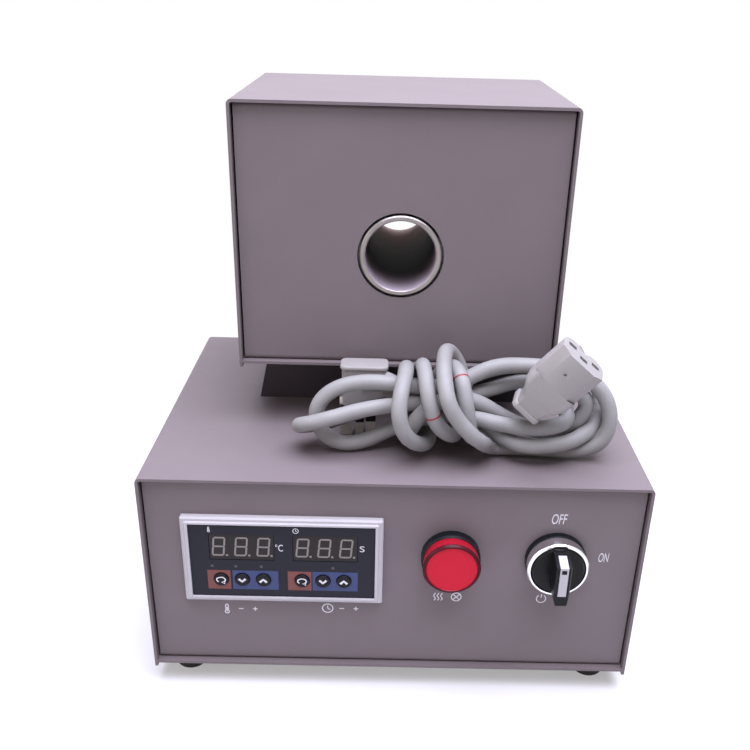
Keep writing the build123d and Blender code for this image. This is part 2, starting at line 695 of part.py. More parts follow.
def display(x):
    """One three-digit display, a little behind the face of the window, standing on the board."""
    front = WINDOW_FRONT + 0.3
    body = along_y(Pos(METER_X + x, METER_Z + DISPLAY_Z) * Rectangle(DISPLAY_W - 0.4, DISPLAY_H - 0.4),
                   front, board_face())
    return body


def board_face():
    return WINDOW_BACK + BOARD_SPACE


def meter_board():
    """Printed board between the case's walls, with a tact switch behind each key."""
    width = METER_CASE_W - 2 * METER_CASE_WALL
    height = METER_CASE_H - 2 * METER_CASE_WALL
    face = board_face()
    board = along_y(Pos(METER_X, METER_Z) * Rectangle(width, height), face, face + 1.6)
    for x in KEY_X:
        board += block(METER_X + x - 3, METER_X + x + 3, face - 2, face, METER_Z + KEY_Z - 3,
                       METER_Z + KEY_Z + 3)
        board += rod_y(METER_X + x, METER_Z + KEY_Z, 1.7, switch_tip(), face - 2)
    return board


def switch_tip():
    """Front of a tact switch's button, just clear of the key's stem when the key is pressed."""
    return board_face() - 2.6


def key(x):
    """Round key with a shallow domed top, a retaining flange and a stem."""
    centre_x = METER_X + x
    centre_z = METER_Z + KEY_Z
    front = WINDOW_FRONT - KEY_PROUD
    cap = rod_y(centre_x, centre_z, KEY_R, front, WINDOW_BACK + 0.2)
    cap = fillet(cap.faces().sort_by(Axis.Y)[0].edges(), 0.5)
    cap += rod_y(centre_x, centre_z, KEY_R + 1.0, WINDOW_BACK + 0.1, WINDOW_BACK + 1.0)
    return cap + rod_y(centre_x, centre_z, 1.7, WINDOW_BACK + 1.0, switch_tip() - KEY_TRAVEL - 0.1)


def meter_clamps():
    """A spring clamp on each side of the case, pushed against the panel by its screw."""
    clamps = []
    for side in (-1, 1):
        x = METER_X + side * METER_CASE_W / 2
        low, high = sorted((x, x + side * 5.0))
        rear = PANEL_BACK + 26.0
        arm = block(low, high, rear - 8, rear, METER_Z - 9, METER_Z + 9)
        screw = rod_y(x + side * 2.5, METER_Z, 1.8, PANEL_BACK, rear + 4)
        screw += rod_y(x + side * 2.5, METER_Z, 2.4, rear + 4, rear + 6)
        clamps.append(arm + screw)
    return group(clamps)


# Lamp and switch

def lamp_base():
    """Black ring on the panel, with the threaded barrel behind it and a pocket for the lamp board."""
    pocket = 8.5
    front = PANEL_Y - LAMP_BASE_T
    rear = PANEL_BACK + 30.0
    return turned(LAMP_X, LAMP_Z, [
        (0, front + 3.0), (pocket, front + 3.0), (pocket, front), (LAMP_BASE_R - 0.8, front),
        (LAMP_BASE_R, front + 0.8), (LAMP_BASE_R, PANEL_Y), (BARREL_R, PANEL_Y), (BARREL_R, rear),
        (0, rear)])


def lamp_lens():
    """Moulded red cup: fluted side that widens to a bevelled rim, with its flat face set in a little."""
    front = PANEL_Y - LENS_REACH
    back = PANEL_Y - LAMP_BASE_T
    cup = turned(LAMP_X, LAMP_Z, [
        (0, front + 0.5), (LENS_FACE_R, front + 0.5), (LENS_FACE_R + 0.3, front), (LENS_R - 0.8, front),
        (LENS_R, front + 1.0), (LENS_R - 0.6, back), (LENS_R - 3.0, back), (LENS_R - 3.0, front + 2.8),
        (0, front + 2.8)])
    flute = rod_y(LAMP_X, LAMP_Z + LENS_R + 0.35, 0.8, front + 1.6, back - 0.8)
    turn = Axis((LAMP_X, 0, LAMP_Z), (0, 1, 0))
    for i in range(LENS_FLUTES):
        cup -= flute.rotate(turn, 360 * i / LENS_FLUTES)
    return cup


def lamp_board():
    """Diode on a small stem, in the base's pocket under the lens."""
    floor = PANEL_Y - LAMP_BASE_T + 3.0
    stem = rod_y(LAMP_X, LAMP_Z, 6.0, floor - 1.2, floor)
    return stem + rod_y(LAMP_X, LAMP_Z, 2.5, floor - 4.0, floor - 1.2)


def ring_nut(x, z):
    """Hexagonal lock nut on a barrel, tight against the back of the panel."""
    body = along_y(Pos(x, z) * RegularPolygon(NUT_R, 6, major_radius=False), PANEL_BACK, PANEL_BACK + NUT_T)
    return body - rod_y(x, z, BARREL_R, PANEL_BACK - 1, PANEL_BACK + NUT_T + 1)


def ring_nuts():
    """The lock nut of the lamp and the lock nut of the switch."""
    return group([ring_nut(LAMP_X, LAMP_Z), ring_nut(SWITCH_X, SWITCH_Z)])


def switch_base():
    """Black ring on the panel, with the threaded barrel that the spindle turns in."""
    front = PANEL_Y - SWITCH_BASE_T
    rear = PANEL_BACK + CAM_FRONT
    bore = SPINDLE_R + 0.1
    return turned(SWITCH_X, SWITCH_Z, [
        (bore, front), (SWITCH_BASE_R - 0.6, front), (SWITCH_BASE_R, front + 0.6),
        (SWITCH_BASE_R, PANEL_Y), (BARREL_R, PANEL_Y), (BARREL_R, rear), (bore, rear)])


def switch_bezel():
    """Chromed ring with a rolled front edge."""
    front = PANEL_Y - CHROME_REACH
    back = PANEL_Y - SWITCH_BASE_T
    return turned(SWITCH_X, SWITCH_Z, [
        (CHROME_BORE_R, front + 0.7), (CHROME_BORE_R + 0.4, front), (CHROME_R - 0.6, front),
        (CHROME_R, front + 0.7), (CHROME_R, front + 1.8), (CHROME_R - 0.4, front + 2.2),
        (CHROME_R - 0.3, back), (CHROME_BORE_R, back)])


def selector_knob():
    """Disc with a raised pointer bar, on a spindle that ends in a slanted face cam."""
    disc_front = PANEL_Y - DISC_REACH
    disc_back = PANEL_Y - SWITCH_BASE_T - 0.3
    disc = turned(SWITCH_X, SWITCH_Z, [
        (0, disc_front), (DISC_R - 0.7, disc_front), (DISC_R, disc_front + 0.7), (DISC_R, disc_back),
        (0, disc_back)])
    crest = PANEL_Y - KNOB_REACH
    side = [(PANEL_Y - DISC_REACH + 1, 11.9), (PANEL_Y - 14.0, 11.9), (crest, 10.1),
            (crest, -10.8), (PANEL_Y - DISC_REACH + 1, -12.2)]
    bar = along_x(make_face(Polyline(*[(y, SWITCH_Z + z) for y, z in side], close=True)),
                  SWITCH_X - BAR_HALF_W, SWITCH_X + BAR_HALF_W)
    tail = make_face(Polyline((SWITCH_X - BAR_HALF_W, SWITCH_Z - 6.0), (SWITCH_X - 2.2, SWITCH_Z - 13.0),
                              (SWITCH_X + 2.2, SWITCH_Z - 13.0), (SWITCH_X + BAR_HALF_W, SWITCH_Z - 6.0),
                              close=True))
    plan = Pos(SWITCH_X, SWITCH_Z + 4.0) * Rectangle(2 * BAR_HALF_W, 20.0) + tail
    bar = bar & along_y(plan, crest - 1, PANEL_Y)
    bar = chamfer(bar.faces().sort_by(Axis.Y)[0].edges().filter_by(Axis.Z), 0.6)
    spindle = rod_y(SWITCH_X, SWITCH_Z, SPINDLE_R, disc_back - 1, PANEL_BACK + CAM_MEAN + 8)
    return disc + bar + (spindle - cam_cut()) - inlay_blank()


def cam_slope():
    """Slope of the cam's slanted face that moves the plunger by its travel in a quarter turn."""
    return PLUNGER_TRAVEL / (FOLLOWER_R * 2 * math.cos(math.radians(45)))


def cam_cut():
    """What is cut off the spindle's end to leave the cam's slanted face, deepest at the upper right."""
    tilt = math.degrees(math.atan(cam_slope()))
    cutter = Box(60, 60, 60).moved(Location((0, 30, 0)))
    cutter = Rot(-tilt, 0, 0) * cutter
    cutter = Rot(0, 45, 0) * cutter
    return Pos(SWITCH_X, PANEL_BACK + CAM_MEAN, SWITCH_Z) * cutter


def inlay_blank():
    """White strip let into the bar, along its crest and down its pointer end."""
    half = 1.95
    depth = 0.8
    crest = PANEL_Y - KNOB_REACH
    side = [(crest - 1, 11.0), (crest - 1, -5.6), (crest + depth, -5.6), (crest + depth, 9.6),
            (PANEL_Y - 14.6, 11.1), (PANEL_Y - 14.6, 13.5)]
    strip = along_x(make_face(Polyline(*[(y, SWITCH_Z + z) for y, z in side], close=True)),
                    SWITCH_X - half, SWITCH_X + half)
    return strip


def knob_inlay():
    """The inlay, flush with the bar's faces, with a small square mark sunk near its bend."""
    crest = PANEL_Y - KNOB_REACH
    side = [(crest, 10.1), (crest, -5.6), (crest + 0.8, -5.6), (crest + 0.8, 9.6),
            (PANEL_Y - 14.6, 11.1), (PANEL_Y - 14.6, 11.78)]
    strip = along_x(make_face(Polyline(*[(y, SWITCH_Z + z) for y, z in side], close=True)),
                    SWITCH_X - 1.95, SWITCH_X + 1.95)
    mark = block(SWITCH_X - 1.2, SWITCH_X + 1.2, crest - 1, crest + 0.3, SWITCH_Z + 6.8, SWITCH_Z + 9.0)
    return strip - mark


def contact_block():
    """Housing clipped behind the barrel, with the cam's space in front and the plunger's guide."""
    front = PANEL_BACK + NUT_T + 1.0
    rear = PANEL_BACK + 52.0
    body = block(SWITCH_X - 15, SWITCH_X + 15, front, rear, SWITCH_Z - 15, SWITCH_Z + 15)
    body = fillet(body.edges().filter_by(Axis.Y), 1.5)
    body -= rod_y(SWITCH_X, SWITCH_Z, BARREL_R, front - 1, PANEL_BACK + CAM_FRONT)
    body -= rod_y(SWITCH_X, SWITCH_Z, SPINDLE_R + 1.0, PANEL_BACK + CAM_FRONT - 1, PANEL_BACK + CAM_MEAN + 7)
    body -= rod_y(SWITCH_X, SWITCH_Z - FOLLOWER_R, FOLLOWER_TIP_R + 0.1, PANEL_BACK + CAM_MEAN,
                  PANEL_BACK + CAM_MEAN + 21)
    for x in (-8, 8):
        body -= block(SWITCH_X + x - 2.5, SWITCH_X + x + 2.5, rear - 10, rear + 1, SWITCH_Z - 16, SWITCH_Z - 9)
        body -= block(SWITCH_X + x - 2.5, SWITCH_X + x + 2.5, rear - 10, rear + 1, SWITCH_Z + 9, SWITCH_Z + 16)
    return body


def contact_plunger():
    """Round-nosed pin that the cam pushes back as the knob turns."""
    slope = math.atan(cam_slope())
    low = PANEL_BACK + CAM_MEAN - PLUNGER_TRAVEL / 2
    centre = low + (FOLLOWER_TIP_R + CAM_GAP) / math.cos(slope)
    pin = rod_y(SWITCH_X, SWITCH_Z - FOLLOWER_R, FOLLOWER_TIP_R, centre, centre + 14.0)
    return pin + Pos(SWITCH_X, centre, SWITCH_Z - FOLLOWER_R) * Sphere(FOLLOWER_TIP_R)


# Power inlet and fuse

def inlet_mouth():
    """Outline of an appliance inlet's mouth: a rectangle with its two upper corners cut off."""
    half_w = 12.2
    half_h = 8.2
    cut = 4.6
    return make_face(Polyline((-half_w, -half_h), (half_w, -half_h), (half_w, half_h - cut),
                              (half_w - cut, half_h), (-half_w + cut, half_h), (-half_w, half_h - cut),
                              close=True))


def power_inlet():
    """Flanged inlet body with its socket open to the rear."""
    rear = REAR_FACE + INLET_FLANGE_T
    flange = along_y(rounded(INLET_X, INLET_Z, INLET_W, INLET_H, 4.0), REAR_FACE, rear)
    flange += along_y(Pos(INLET_X, INLET_Z) * Rectangle(INLET_BODY_W, INLET_BODY_H),
                      REAR_FACE - 20.0, rear)
    flange -= along_y(Pos(INLET_X, INLET_Z) * inlet_mouth(), rear - INLET_CAVITY_DEPTH, rear + 1)
    for side in (-1, 1):
        x = INLET_X + side * INLET_SCREW_X
        flange -= rod_y(x, INLET_Z, SCREW_R + SCREW_GAP, REAR_FACE - 1, rear + 1)
        flange -= rod_y(x, INLET_Z, SCREW_HEAD_R + SCREW_GAP, rear - INLET_SINK, rear + 1)
    for x, z in inlet_pin_places():
        flange -= block(x - 1.0, x + 1.0, REAR_FACE - 21, rear, z - 2.0, z + 2.0)
    return flange


def inlet_pin_places():
    return [(INLET_X, INLET_Z + 2.0), (INLET_X - 7.0, INLET_Z - 2.0), (INLET_X + 7.0, INLET_Z - 2.0)]


def inlet_pins():
    """Three flat pins that run through the inlet's floor to its tabs."""
    tip = REAR_FACE + INLET_FLANGE_T - 2.0
    return group(block(x - 1.0, x + 1.0, REAR_FACE - 29.0, tip, z - 2.0, z + 2.0)
                 for x, z in inlet_pin_places())


def inlet_screws():
    seat = REAR_FACE + INLET_FLANGE_T - INLET_SINK
    return group(Pos(INLET_X + side * INLET_SCREW_X, seat, INLET_Z) * Rot(-90, 0, 0) * pan_screw(8.0)
                 for side in (-1, 1))


def fuse_holder():
    """Panel fuse holder with its nut flange outside and its barrel inside."""
    return turned(FUSE_X, INLET_Z, [
        (0, REAR_FACE - 30), (FUSE_R - 1, REAR_FACE - 30), (FUSE_R - 1, REAR_FACE - 8),
        (FUSE_R, REAR_FACE - 8), (FUSE_R, REAR_FACE), (FUSE_R + 2.0, REAR_FACE), (FUSE_R + 2.0, REAR_FACE + 2.0),
        (FUSE_R - 1.2, REAR_FACE + 2.0), (FUSE_R - 1.2, REAR_FACE - 2.0), (0, REAR_FACE - 2.0)])


def fuse_cap():
    """Screwed cap with a slot for a coin."""
    cap = turned(FUSE_X, INLET_Z, [
        (0, REAR_FACE - 2.0), (FUSE_R - 1.4, REAR_FACE - 2.0), (FUSE_R - 1.4, REAR_FACE + 2.6),
        (FUSE_R - 1.8, REAR_FACE + 3.0), (0, REAR_FACE + 3.0)])
    return cap - block(FUSE_X - 3.6, FUSE_X + 3.6, REAR_FACE + 2.0, REAR_FACE + 4, INLET_Z - 0.6, INLET_Z + 0.6)


def wire(points, radius, bend):
    """A wire along straight runs joined by arcs."""
    start = Vector(*points[0])
    direction = Vector(*points[1]) - start
    path = FilletPolyline(*points, radius=bend)
    return sweep(Plane(origin=start, z_dir=direction) * Circle(radius), path=path)


def mains_wires():
    """Three wires from the inlet's tabs to the near side of the terminal strip."""
    y = REAR_FACE - 29.0
    wires = []
    for (x, z), end_x in zip(inlet_pin_places(), (LOOM_X + 14.3, LOOM_X + 4.8, LOOM_X + 23.8)):
        wires.append(wire([(x, y, z), (x, y - 10, z), (end_x, LOOM_Y + 21, STRIP_Z + 5),
                           (end_x, LOOM_Y + 11, STRIP_Z + 5)], WIRE_R, 3.0))
    return group(wires)


# Mains lead

def waist(x, column, row, way):
    """A point of a strand in the waist, and the strand's direction there."""
    slope = WAIST_RISE / (WAIST_RIGHT - WAIST_LEFT)
    z = WAIST_Z + slope * (x - WAIST_LEFT) + row * ROW
    return Vector(x, WAIST_Y + column * COLUMN, z), Vector(way, 0, way * slope)


def fold_ends(side, reach, middle_y, middle_z, radius, tilt, first):
    """Both ends of a half turn, in the order in which the cord runs."""
    x = reach - side * radius
    dy = first * radius * math.cos(math.radians(tilt))
    dz = first * radius * math.sin(math.radians(tilt))
    return [(Vector(x, middle_y + dy, middle_z + dz), Vector(side, 0, 0)),
            (Vector(x, middle_y - dy, middle_z - dz), Vector(-side, 0, 0))]


def between(values, place):
    """The value at a place in a list of them, on the straight line between two neighbours."""
    step = int(place)
    return values[step] + (values[step + 1] - values[step]) * (place - step)


def lean(turns):
    """How far along X the winding is, on a smooth curve through its quarter turns."""
    quarter = int(4 * turns)
    part = 4 * turns - quarter
    before, here, after, beyond = WRAP_X[quarter - 1:quarter + 3]
    bend = 2 * before - 5 * here + 4 * after - beyond + part * (3 * (here - after) + beyond - before)
    return here + 0.5 * part * (after - before + part * bend)


def wrap_point(turns):
    """A point on the winding, counted in turns from the top: forward, down, back and up again."""
    depth = (WRAP_REAR - between(WRAP_FRONTS, turns - 0.25)) / 2
    height = (between(WRAP_TOPS, turns) - CORD_REST) / 2
    angle = 2 * math.pi * turns
    return Vector(lean(turns), WRAP_REAR - depth - depth * math.sin(angle),
                  CORD_REST + height + height * math.cos(angle))


def wrap_nodes():
    """The winding's quarter points with their directions."""
    step = 0.0001
    turns = [WRAP_FIRST] + [quarter / 4 for quarter in range(2, 4 * WRAP_TURNS + 2)]
    return [(wrap_point(t), wrap_point(t + step) - wrap_point(t - step)) for t in turns]


def cord_nodes():
    """Points and directions along the cord, from its seat in the connector to its seat in the plug."""
    axis = Vector(*CONNECTOR_AXIS).normalized()
    start = Vector(*CONNECTOR_AT)
    nodes = [(start + axis * CORD_SEAT, axis * -1), (start, axis * -1)]
    nodes += [waist(WAIST_RIGHT, -1, 0, -1), (Vector(*TO_WRAP), Vector(-1, -0.05, -0.1))]
    nodes += wrap_nodes()
    nodes.append((Vector(*FROM_WRAP, CORD_REST), Vector(1, 0, 0)))
    for fold, (column, row, leave) in zip(FOLDS, STRANDS):
        way = -fold[0]
        enter = WAIST_RIGHT if way < 0 else WAIST_LEFT
        nodes += fold_ends(*fold)
        nodes += [waist(enter, column, row, way), waist(leave, column, row, way)]
    end = Vector(*PLUG_AT)
    return nodes + [(end, Vector(-1, 0, 0)), (end - Vector(CORD_SEAT, 0, 0), Vector(-1, 0, 0))]


def biarc(start, start_way, end, end_way):
    """Two arcs that meet tangentially, between two points with given directions."""
    chord = end - start
    first = start_way.normalized()
    last = end_way.normalized()
    if first.cross(chord).length < 0.000001 and last.cross(chord).length < 0.000001:
        return [Edge.make_line(start, end)]
    spread = 2 * (1 - first.dot(last))
    along = chord.dot(first + last)
    if spread < 0.000001:
        reach = chord.dot(chord) / (2 * along)
    else:
        reach = (math.sqrt(along * along + spread * chord.dot(chord)) - along) / spread
    near = start + first * reach
    far = end - last * reach
    middle = (near + far) * 0.5
    return [Edge.make_tangent_arc(start, first, middle), Edge.make_tangent_arc(middle, far - near, end)]


def least_gap(edges, step=1.6):
    """The least space between two stretches of the cord that aren't neighbours."""
    points = []
    for edge in edges:
        count = max(2, round(edge.length / step))
        points += [tuple(edge.position_at(i / count)) for i in range(count)]
    apart = int(6.4 * CORD_R / step)
    closest = min(math.dist(points[i], points[j]) for i in range(len(points))
                  for j in range(i + apart, len(points)))
    return closest - 2 * CORD_R


def lead_hank():
    """The whole cord as one unbroken tube: folds, strands through the waist and the winding."""
    nodes = cord_nodes()
    edges = []
    for (start, start_way), (end, end_way) in zip(nodes, nodes[1:]):
        edges += biarc(start, start_way, end, end_way)
    bends = [edge.radius for edge in edges if edge.geom_type == GeomType.CIRCLE]
    length = sum(edge.length for edge in edges)
    tube = sweep(Plane(origin=nodes[0][0], z_dir=nodes[0][1]) * Circle(CORD_R), path=Wire(edges))
    share = tube.volume / (math.pi * CORD_R ** 2 * length)
    print(f"cord {length:.0f} mm, tightest bend {min(bends):.1f} mm, least gap {least_gap(edges):.2f} mm, "
          f"volume over section times length {share:.3f}")
    return tube


def connector_plane(along=0.0):
    axis = Vector(*CONNECTOR_AXIS).normalized()
    return Plane(origin=Vector(*CONNECTOR_AT) + axis * along, x_dir=Vector(*CONNECTOR_WIDE), z_dir=axis)


def nose_outline():
    """The connector's face: a rectangle with the two corners of its far side cut off."""
    half_w = 11.4
    half_h = 7.8
    cut = 4.2
    return make_face(Polyline((-half_w, -half_h), (half_w, -half_h), (half_w, half_h - cut),
                              (half_w - cut, half_h), (-half_w + cut, half_h), (-half_w, half_h - cut),
                              close=True))


def lead_connector():
    """Moulded appliance connector: a collar at the cord, a bulging grip and a straight nose."""
    grip = loft([Pos(0, 0, 2.2) * RectangleRounded(11.6, 10.2, 3.0),
                 Pos(0, 0, 9.0) * RectangleRounded(19.0, 13.6, 4.0),
                 Pos(0, 0, CONNECTOR_SHOULDER) * RectangleRounded(23.6, 16.4, 3.0)])
    nose = extrude(Pos(0, 0, CONNECTOR_SHOULDER) * nose_outline(), CONNECTOR_LENGTH - CONNECTOR_SHOULDER)
    body = grip + nose
    body += extrude(RectangleRounded(13.1, 11.2, 2.4), 2.4)
    body -= Cylinder(CORD_R, 2 * CORD_SEAT)
    for x, y in CONTACT_PLACES:
        body -= Pos(x, y, CONNECTOR_LENGTH - CONTACT_DEPTH / 2) * Box(2.4, 6.2, CONTACT_DEPTH)
    return connector_plane() * body


def connector_contacts():
    """A folded contact on the floor of each slot."""
    floor = CONNECTOR_LENGTH - CONTACT_DEPTH
    pieces = []
    for x, y in CONTACT_PLACES:
        leaf = Pos(x, y, floor + 5.0) * Box(2.4, 4.6, 10.0)
        pieces.append(connector_plane() * (leaf - Pos(x, y, floor + 6.0) * Box(1.4, 6.0, 10.0)))
    return group(pieces)


def lead_plug():
    """Three-pin plug that stands on its pins, with a rim round its back and the cord's seat at its right."""
    depth = PLUG_REAR - PLUG_FRONT
    centre_y = (PLUG_REAR + PLUG_FRONT) / 2
    width = PLUG_AT[0] - PLUG_LEFT
    centre_x = (PLUG_AT[0] + PLUG_LEFT) / 2
    body = loft([Pos(centre_x, centre_y, PLUG_BOTTOM) * RectangleRounded(width - 1.6, depth - 1.6, 2.5),
                 Pos(centre_x, centre_y, PLUG_RIM) * RectangleRounded(width, depth, 3.0)])
    rim = extrude(Pos(centre_x, centre_y, PLUG_RIM) * RectangleRounded(width + 1.8, depth + 1.4, 3.4),
                  PLUG_TOP - PLUG_RIM)
    rim = chamfer(rim.edges().group_by(Axis.Z)[-1], 0.9)
    boss = rod_x(PLUG_AT[1], PLUG_AT[2], CORD_R + 1.0, PLUG_AT[0] - 4.0, PLUG_AT[0])
    body = body + rim + boss
    body -= rod_x(PLUG_AT[1], PLUG_AT[2], CORD_R, PLUG_AT[0] - CORD_SEAT, PLUG_AT[0] + 1)
    for x, wide, deep in PIN_PLACES:
        body -= block(x - wide / 2, x + wide / 2, PIN_Y - deep / 2, PIN_Y + deep / 2,
                      PLUG_BOTTOM - 1, PLUG_BOTTOM + PIN_SOCKET)
    return body


def plug_pins():
    """Three flat pins with bevelled tips."""
    pins = []
    for x, wide, deep in PIN_PLACES:
        pin = block(x - wide / 2, x + wide / 2, PIN_Y - deep / 2, PIN_Y + deep / 2,
                    CASE_TOP + 0.4, PLUG_BOTTOM + PIN_SOCKET)
        pins.append(chamfer(pin.edges().group_by(Axis.Z)[0], 0.8))
    return group(pins)


NODES = {
    "controller_cover": controller_cover,
    "controller_base_plate": controller_base_plate,
    "controller_front_panel": controller_front_panel,
    "controller_rear_panel": controller_rear_panel,
    "rubber_feet": rubber_feet,
    "foot_screws": foot_screws,
    "cover_screws": cover_screws,
    "panel_screws": panel_screws,
    "furnace_cover": furnace_cover,
    "furnace_base_plate": furnace_base_plate,
    "furnace_front_panel": lambda: furnace_panel(FURNACE_FRONT + LIP, 1),
    "furnace_rear_panel": lambda: furnace_panel(REAR_FACE, -1),
    "neck": neck,
    "neck_screws": neck_screws,
    "heating_tube": heating_tube,
    "ceramic_heater": ceramic_heater,
    "insulation_blanket": insulation_blanket,
    "insulation_boards": insulation_boards,
    "tube_brackets": tube_brackets,
    "thermocouple": thermocouple,
    "ceramic_terminal_block": ceramic_terminal_block,
    "heater_tails": heater_tails,
    "heater_loom": heater_loom,
    "grommets": grommets,
    "solid_state_relay": solid_state_relay,
    "terminal_strip": terminal_strip,
    "meter_bezel": meter_bezel,
    "meter_window": meter_window,
    "meter_case": meter_case,
    "temperature_display": lambda: display(DISPLAY_X[0]),
    "time_display": lambda: display(DISPLAY_X[1]),
    "meter_board": meter_board,
    "meter_clamps": meter_clamps,
    "lamp_base": lamp_base,
    "lamp_lens": lamp_lens,
    "lamp_board": lamp_board,
    "ring_nuts": ring_nuts,
    "switch_base": switch_base,
    "switch_bezel": switch_bezel,
    "selector_knob": selector_knob,
    "knob_inlay": knob_inlay,
    "contact_block": contact_block,
    "contact_plunger": contact_plunger,
    "power_inlet": power_inlet,
    "inlet_pins": inlet_pins,
    "inlet_screws": inlet_screws,
    "fuse_holder": fuse_holder,
    "fuse_cap": fuse_cap,
    "mains_wires": mains_wires,
    "lead_hank": lead_hank,
    "lead_connector": lead_connector,
    "connector_contacts": connector_contacts,
    "lead_plug": lead_plug,
    "plug_pins": plug_pins,
}
for number, key_x in enumerate(KEY_X, start=1):
    NODES[f"key_{number}"] = lambda x=key_x: key(x)


def main():
    os.makedirs("parts", exist_ok=True)
    for name, make in NODES.items():
        export_step(make(), f"parts/{name}.step")


main()
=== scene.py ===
import json
import math

import bmesh
import bpy
from mathutils import Matrix, Vector


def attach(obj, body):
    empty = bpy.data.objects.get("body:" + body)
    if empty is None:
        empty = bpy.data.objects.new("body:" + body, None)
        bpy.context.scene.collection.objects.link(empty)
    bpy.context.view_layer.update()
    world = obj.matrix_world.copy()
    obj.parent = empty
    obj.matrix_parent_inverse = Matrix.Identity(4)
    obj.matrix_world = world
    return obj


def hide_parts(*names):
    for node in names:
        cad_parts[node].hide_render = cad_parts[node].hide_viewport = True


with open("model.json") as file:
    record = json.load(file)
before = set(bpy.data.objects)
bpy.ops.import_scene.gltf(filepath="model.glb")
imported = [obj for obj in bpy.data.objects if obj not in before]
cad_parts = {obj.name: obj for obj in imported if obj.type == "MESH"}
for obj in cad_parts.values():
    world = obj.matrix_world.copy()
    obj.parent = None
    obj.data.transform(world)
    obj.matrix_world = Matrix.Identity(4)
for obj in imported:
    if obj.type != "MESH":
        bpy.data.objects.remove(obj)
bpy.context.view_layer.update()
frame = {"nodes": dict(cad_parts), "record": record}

# Lengths are written in millimetres and placed in metres.
MM = 0.001

# Places and sizes on the CAD's pieces, in millimetres
PANEL_Y = -77.25
REAR_FACE = 96.75
FURNACE_FRONT = -22.25
TUBE_Z = 210.0
TUBE_BORE_R = 17.0
TURNING_PITCH = 0.5
METER = (-53.1, 76.0)
WINDOW_FRONT = PANEL_Y - 3.2
DISPLAY_Z = 7.7
DISPLAY_FRONT = WINDOW_FRONT + 0.3
KEY_X = (-30.0, -19.8, -9.6, 9.1, 19.2, 29.3)
KEY_Z = -10.8
KEY_R = 3.5
KEY_FRONT = WINDOW_FRONT - 1.0
LAMP = (27.4, 79.4)
LAMP_FACE_R = 11.9
LENS_FRONT = PANEL_Y - 12.0
SWITCH = (77.9, 79.0)
KNOB_CREST = PANEL_Y - 22.5

# Prints, in millimetres: their thickness, their strokes, and their places from the meter's middle
INK = 0.06
SIGN_STROKE = 0.55
WINDOW_STROKE = 0.7
WINDOW_SIGN_Z = 17.6
WORD_SLANT = 0.15
ARROW_STROKE = 0.62
CHEVRON_STROKE = 1.25
FIELD_Z = (-16.6, -5.6)
FIELD_GAP = 0.3
DIODE_X = (-34.0, -22.6, -10.4, 24.0)
DIODE_Z = -3.2
DIODE_R = 0.75
DIGITS_Z = DISPLAY_Z + 0.2
DIGIT_H = 10.7
DIGIT_W = 6.1
DIGIT_LEAN = 0.1
BAR_W = 0.85
BAR_GAP = 0.15
POINT_R = 0.6
POINT_AWAY = 0.7
# The black block of painted shade in the recess in the knob's inlay: half its width, its lower and upper end
# from the knob's axis, and how far behind the knob's crest it starts and ends
MARK_HALF = 1.2
MARK_RISE = (6.8, 9.0)
MARK_BEHIND = (0.02, 0.29)

# The photograph's camera, from a least-squares fit to the edges of the two boxes, the tube's mouth and the
# meter
FRAME_PX = 750
FOCAL_PX = 890.056
CENTRE_PX = (395.065, 406.123)
CAMERA_MM = (-5.548, -433.161, 328.778)
YAW, PITCH, ROLL = 0.0119, 0.4462, 0.0280
SENSOR_MM = 36.0

# Studio, in metres: its even light, the floor's own glow and where the floor starts and ends its fade to
# white, and each lamp's name, place, target, size, power in watts and colour
AMBIENT = 0.13
FLOOR_GLOW = 0.35
FADE = (0.16, 0.42)
LAMPS = (
    ("top_softbox", (0.1, -0.12, 1.25), (0.0, 0.0, 0.12), 1.2, 41.0, "#e8eaff"),
    ("upper_front_softbox", (0.3, -0.75, 1.2), (0.0, 0.0, 0.12), 0.8, 0.8, "#fff4ee"),
    ("front_softbox", (-0.1, -1.6, 0.6), (0.0, 0.0, 0.14), 0.9, 1.3, "#ffeee4"),
    ("left_fill", (-1.2, -0.5, 0.6), (0.0, 0.0, 0.12), 0.8, 3.2, "#fff4f0"),
)

# Mains lead, in millimetres
CORD_R = 3.75
# The route was traced from the photograph. A least-squares fit in another program then moved its points
# and the winding's values, to follow the traced strands and keep them a cord's thickness apart.
# The winding: its place along X at each quarter turn from the top of its first turn, and how far forward,
# back, up and down it reaches in each turn
WRAP_X = (0.3, 5.5, 5.5, 3.4, 4.1, 0.9, 16.4, 11.9, 12.2, 16.3, 29.9, 19.2, 27.8, 32.7, 37.1, 33.7, 22.0,
          24.9, 47.9, -2.6)
WRAP_FRONTS = (-55.1, -67.2, -61.8, -59.4, -67.5)
WRAP_REARS = (-47.9, -27.0, -27.6, -27.7, -29.2, 29.2)
WRAP_TOPS = (154.1, 163.3, 164.3, 163.3, 170.2, 158.3)
WRAP_BOTTOMS = (152.2, 124.7, 125.6, 129.6, 128.0, 134.9)
# The turns at which it starts and ends
WRAP_FIRST = 0.4
WRAP_LAST = 4.3
POINTS_A_TURN = 12
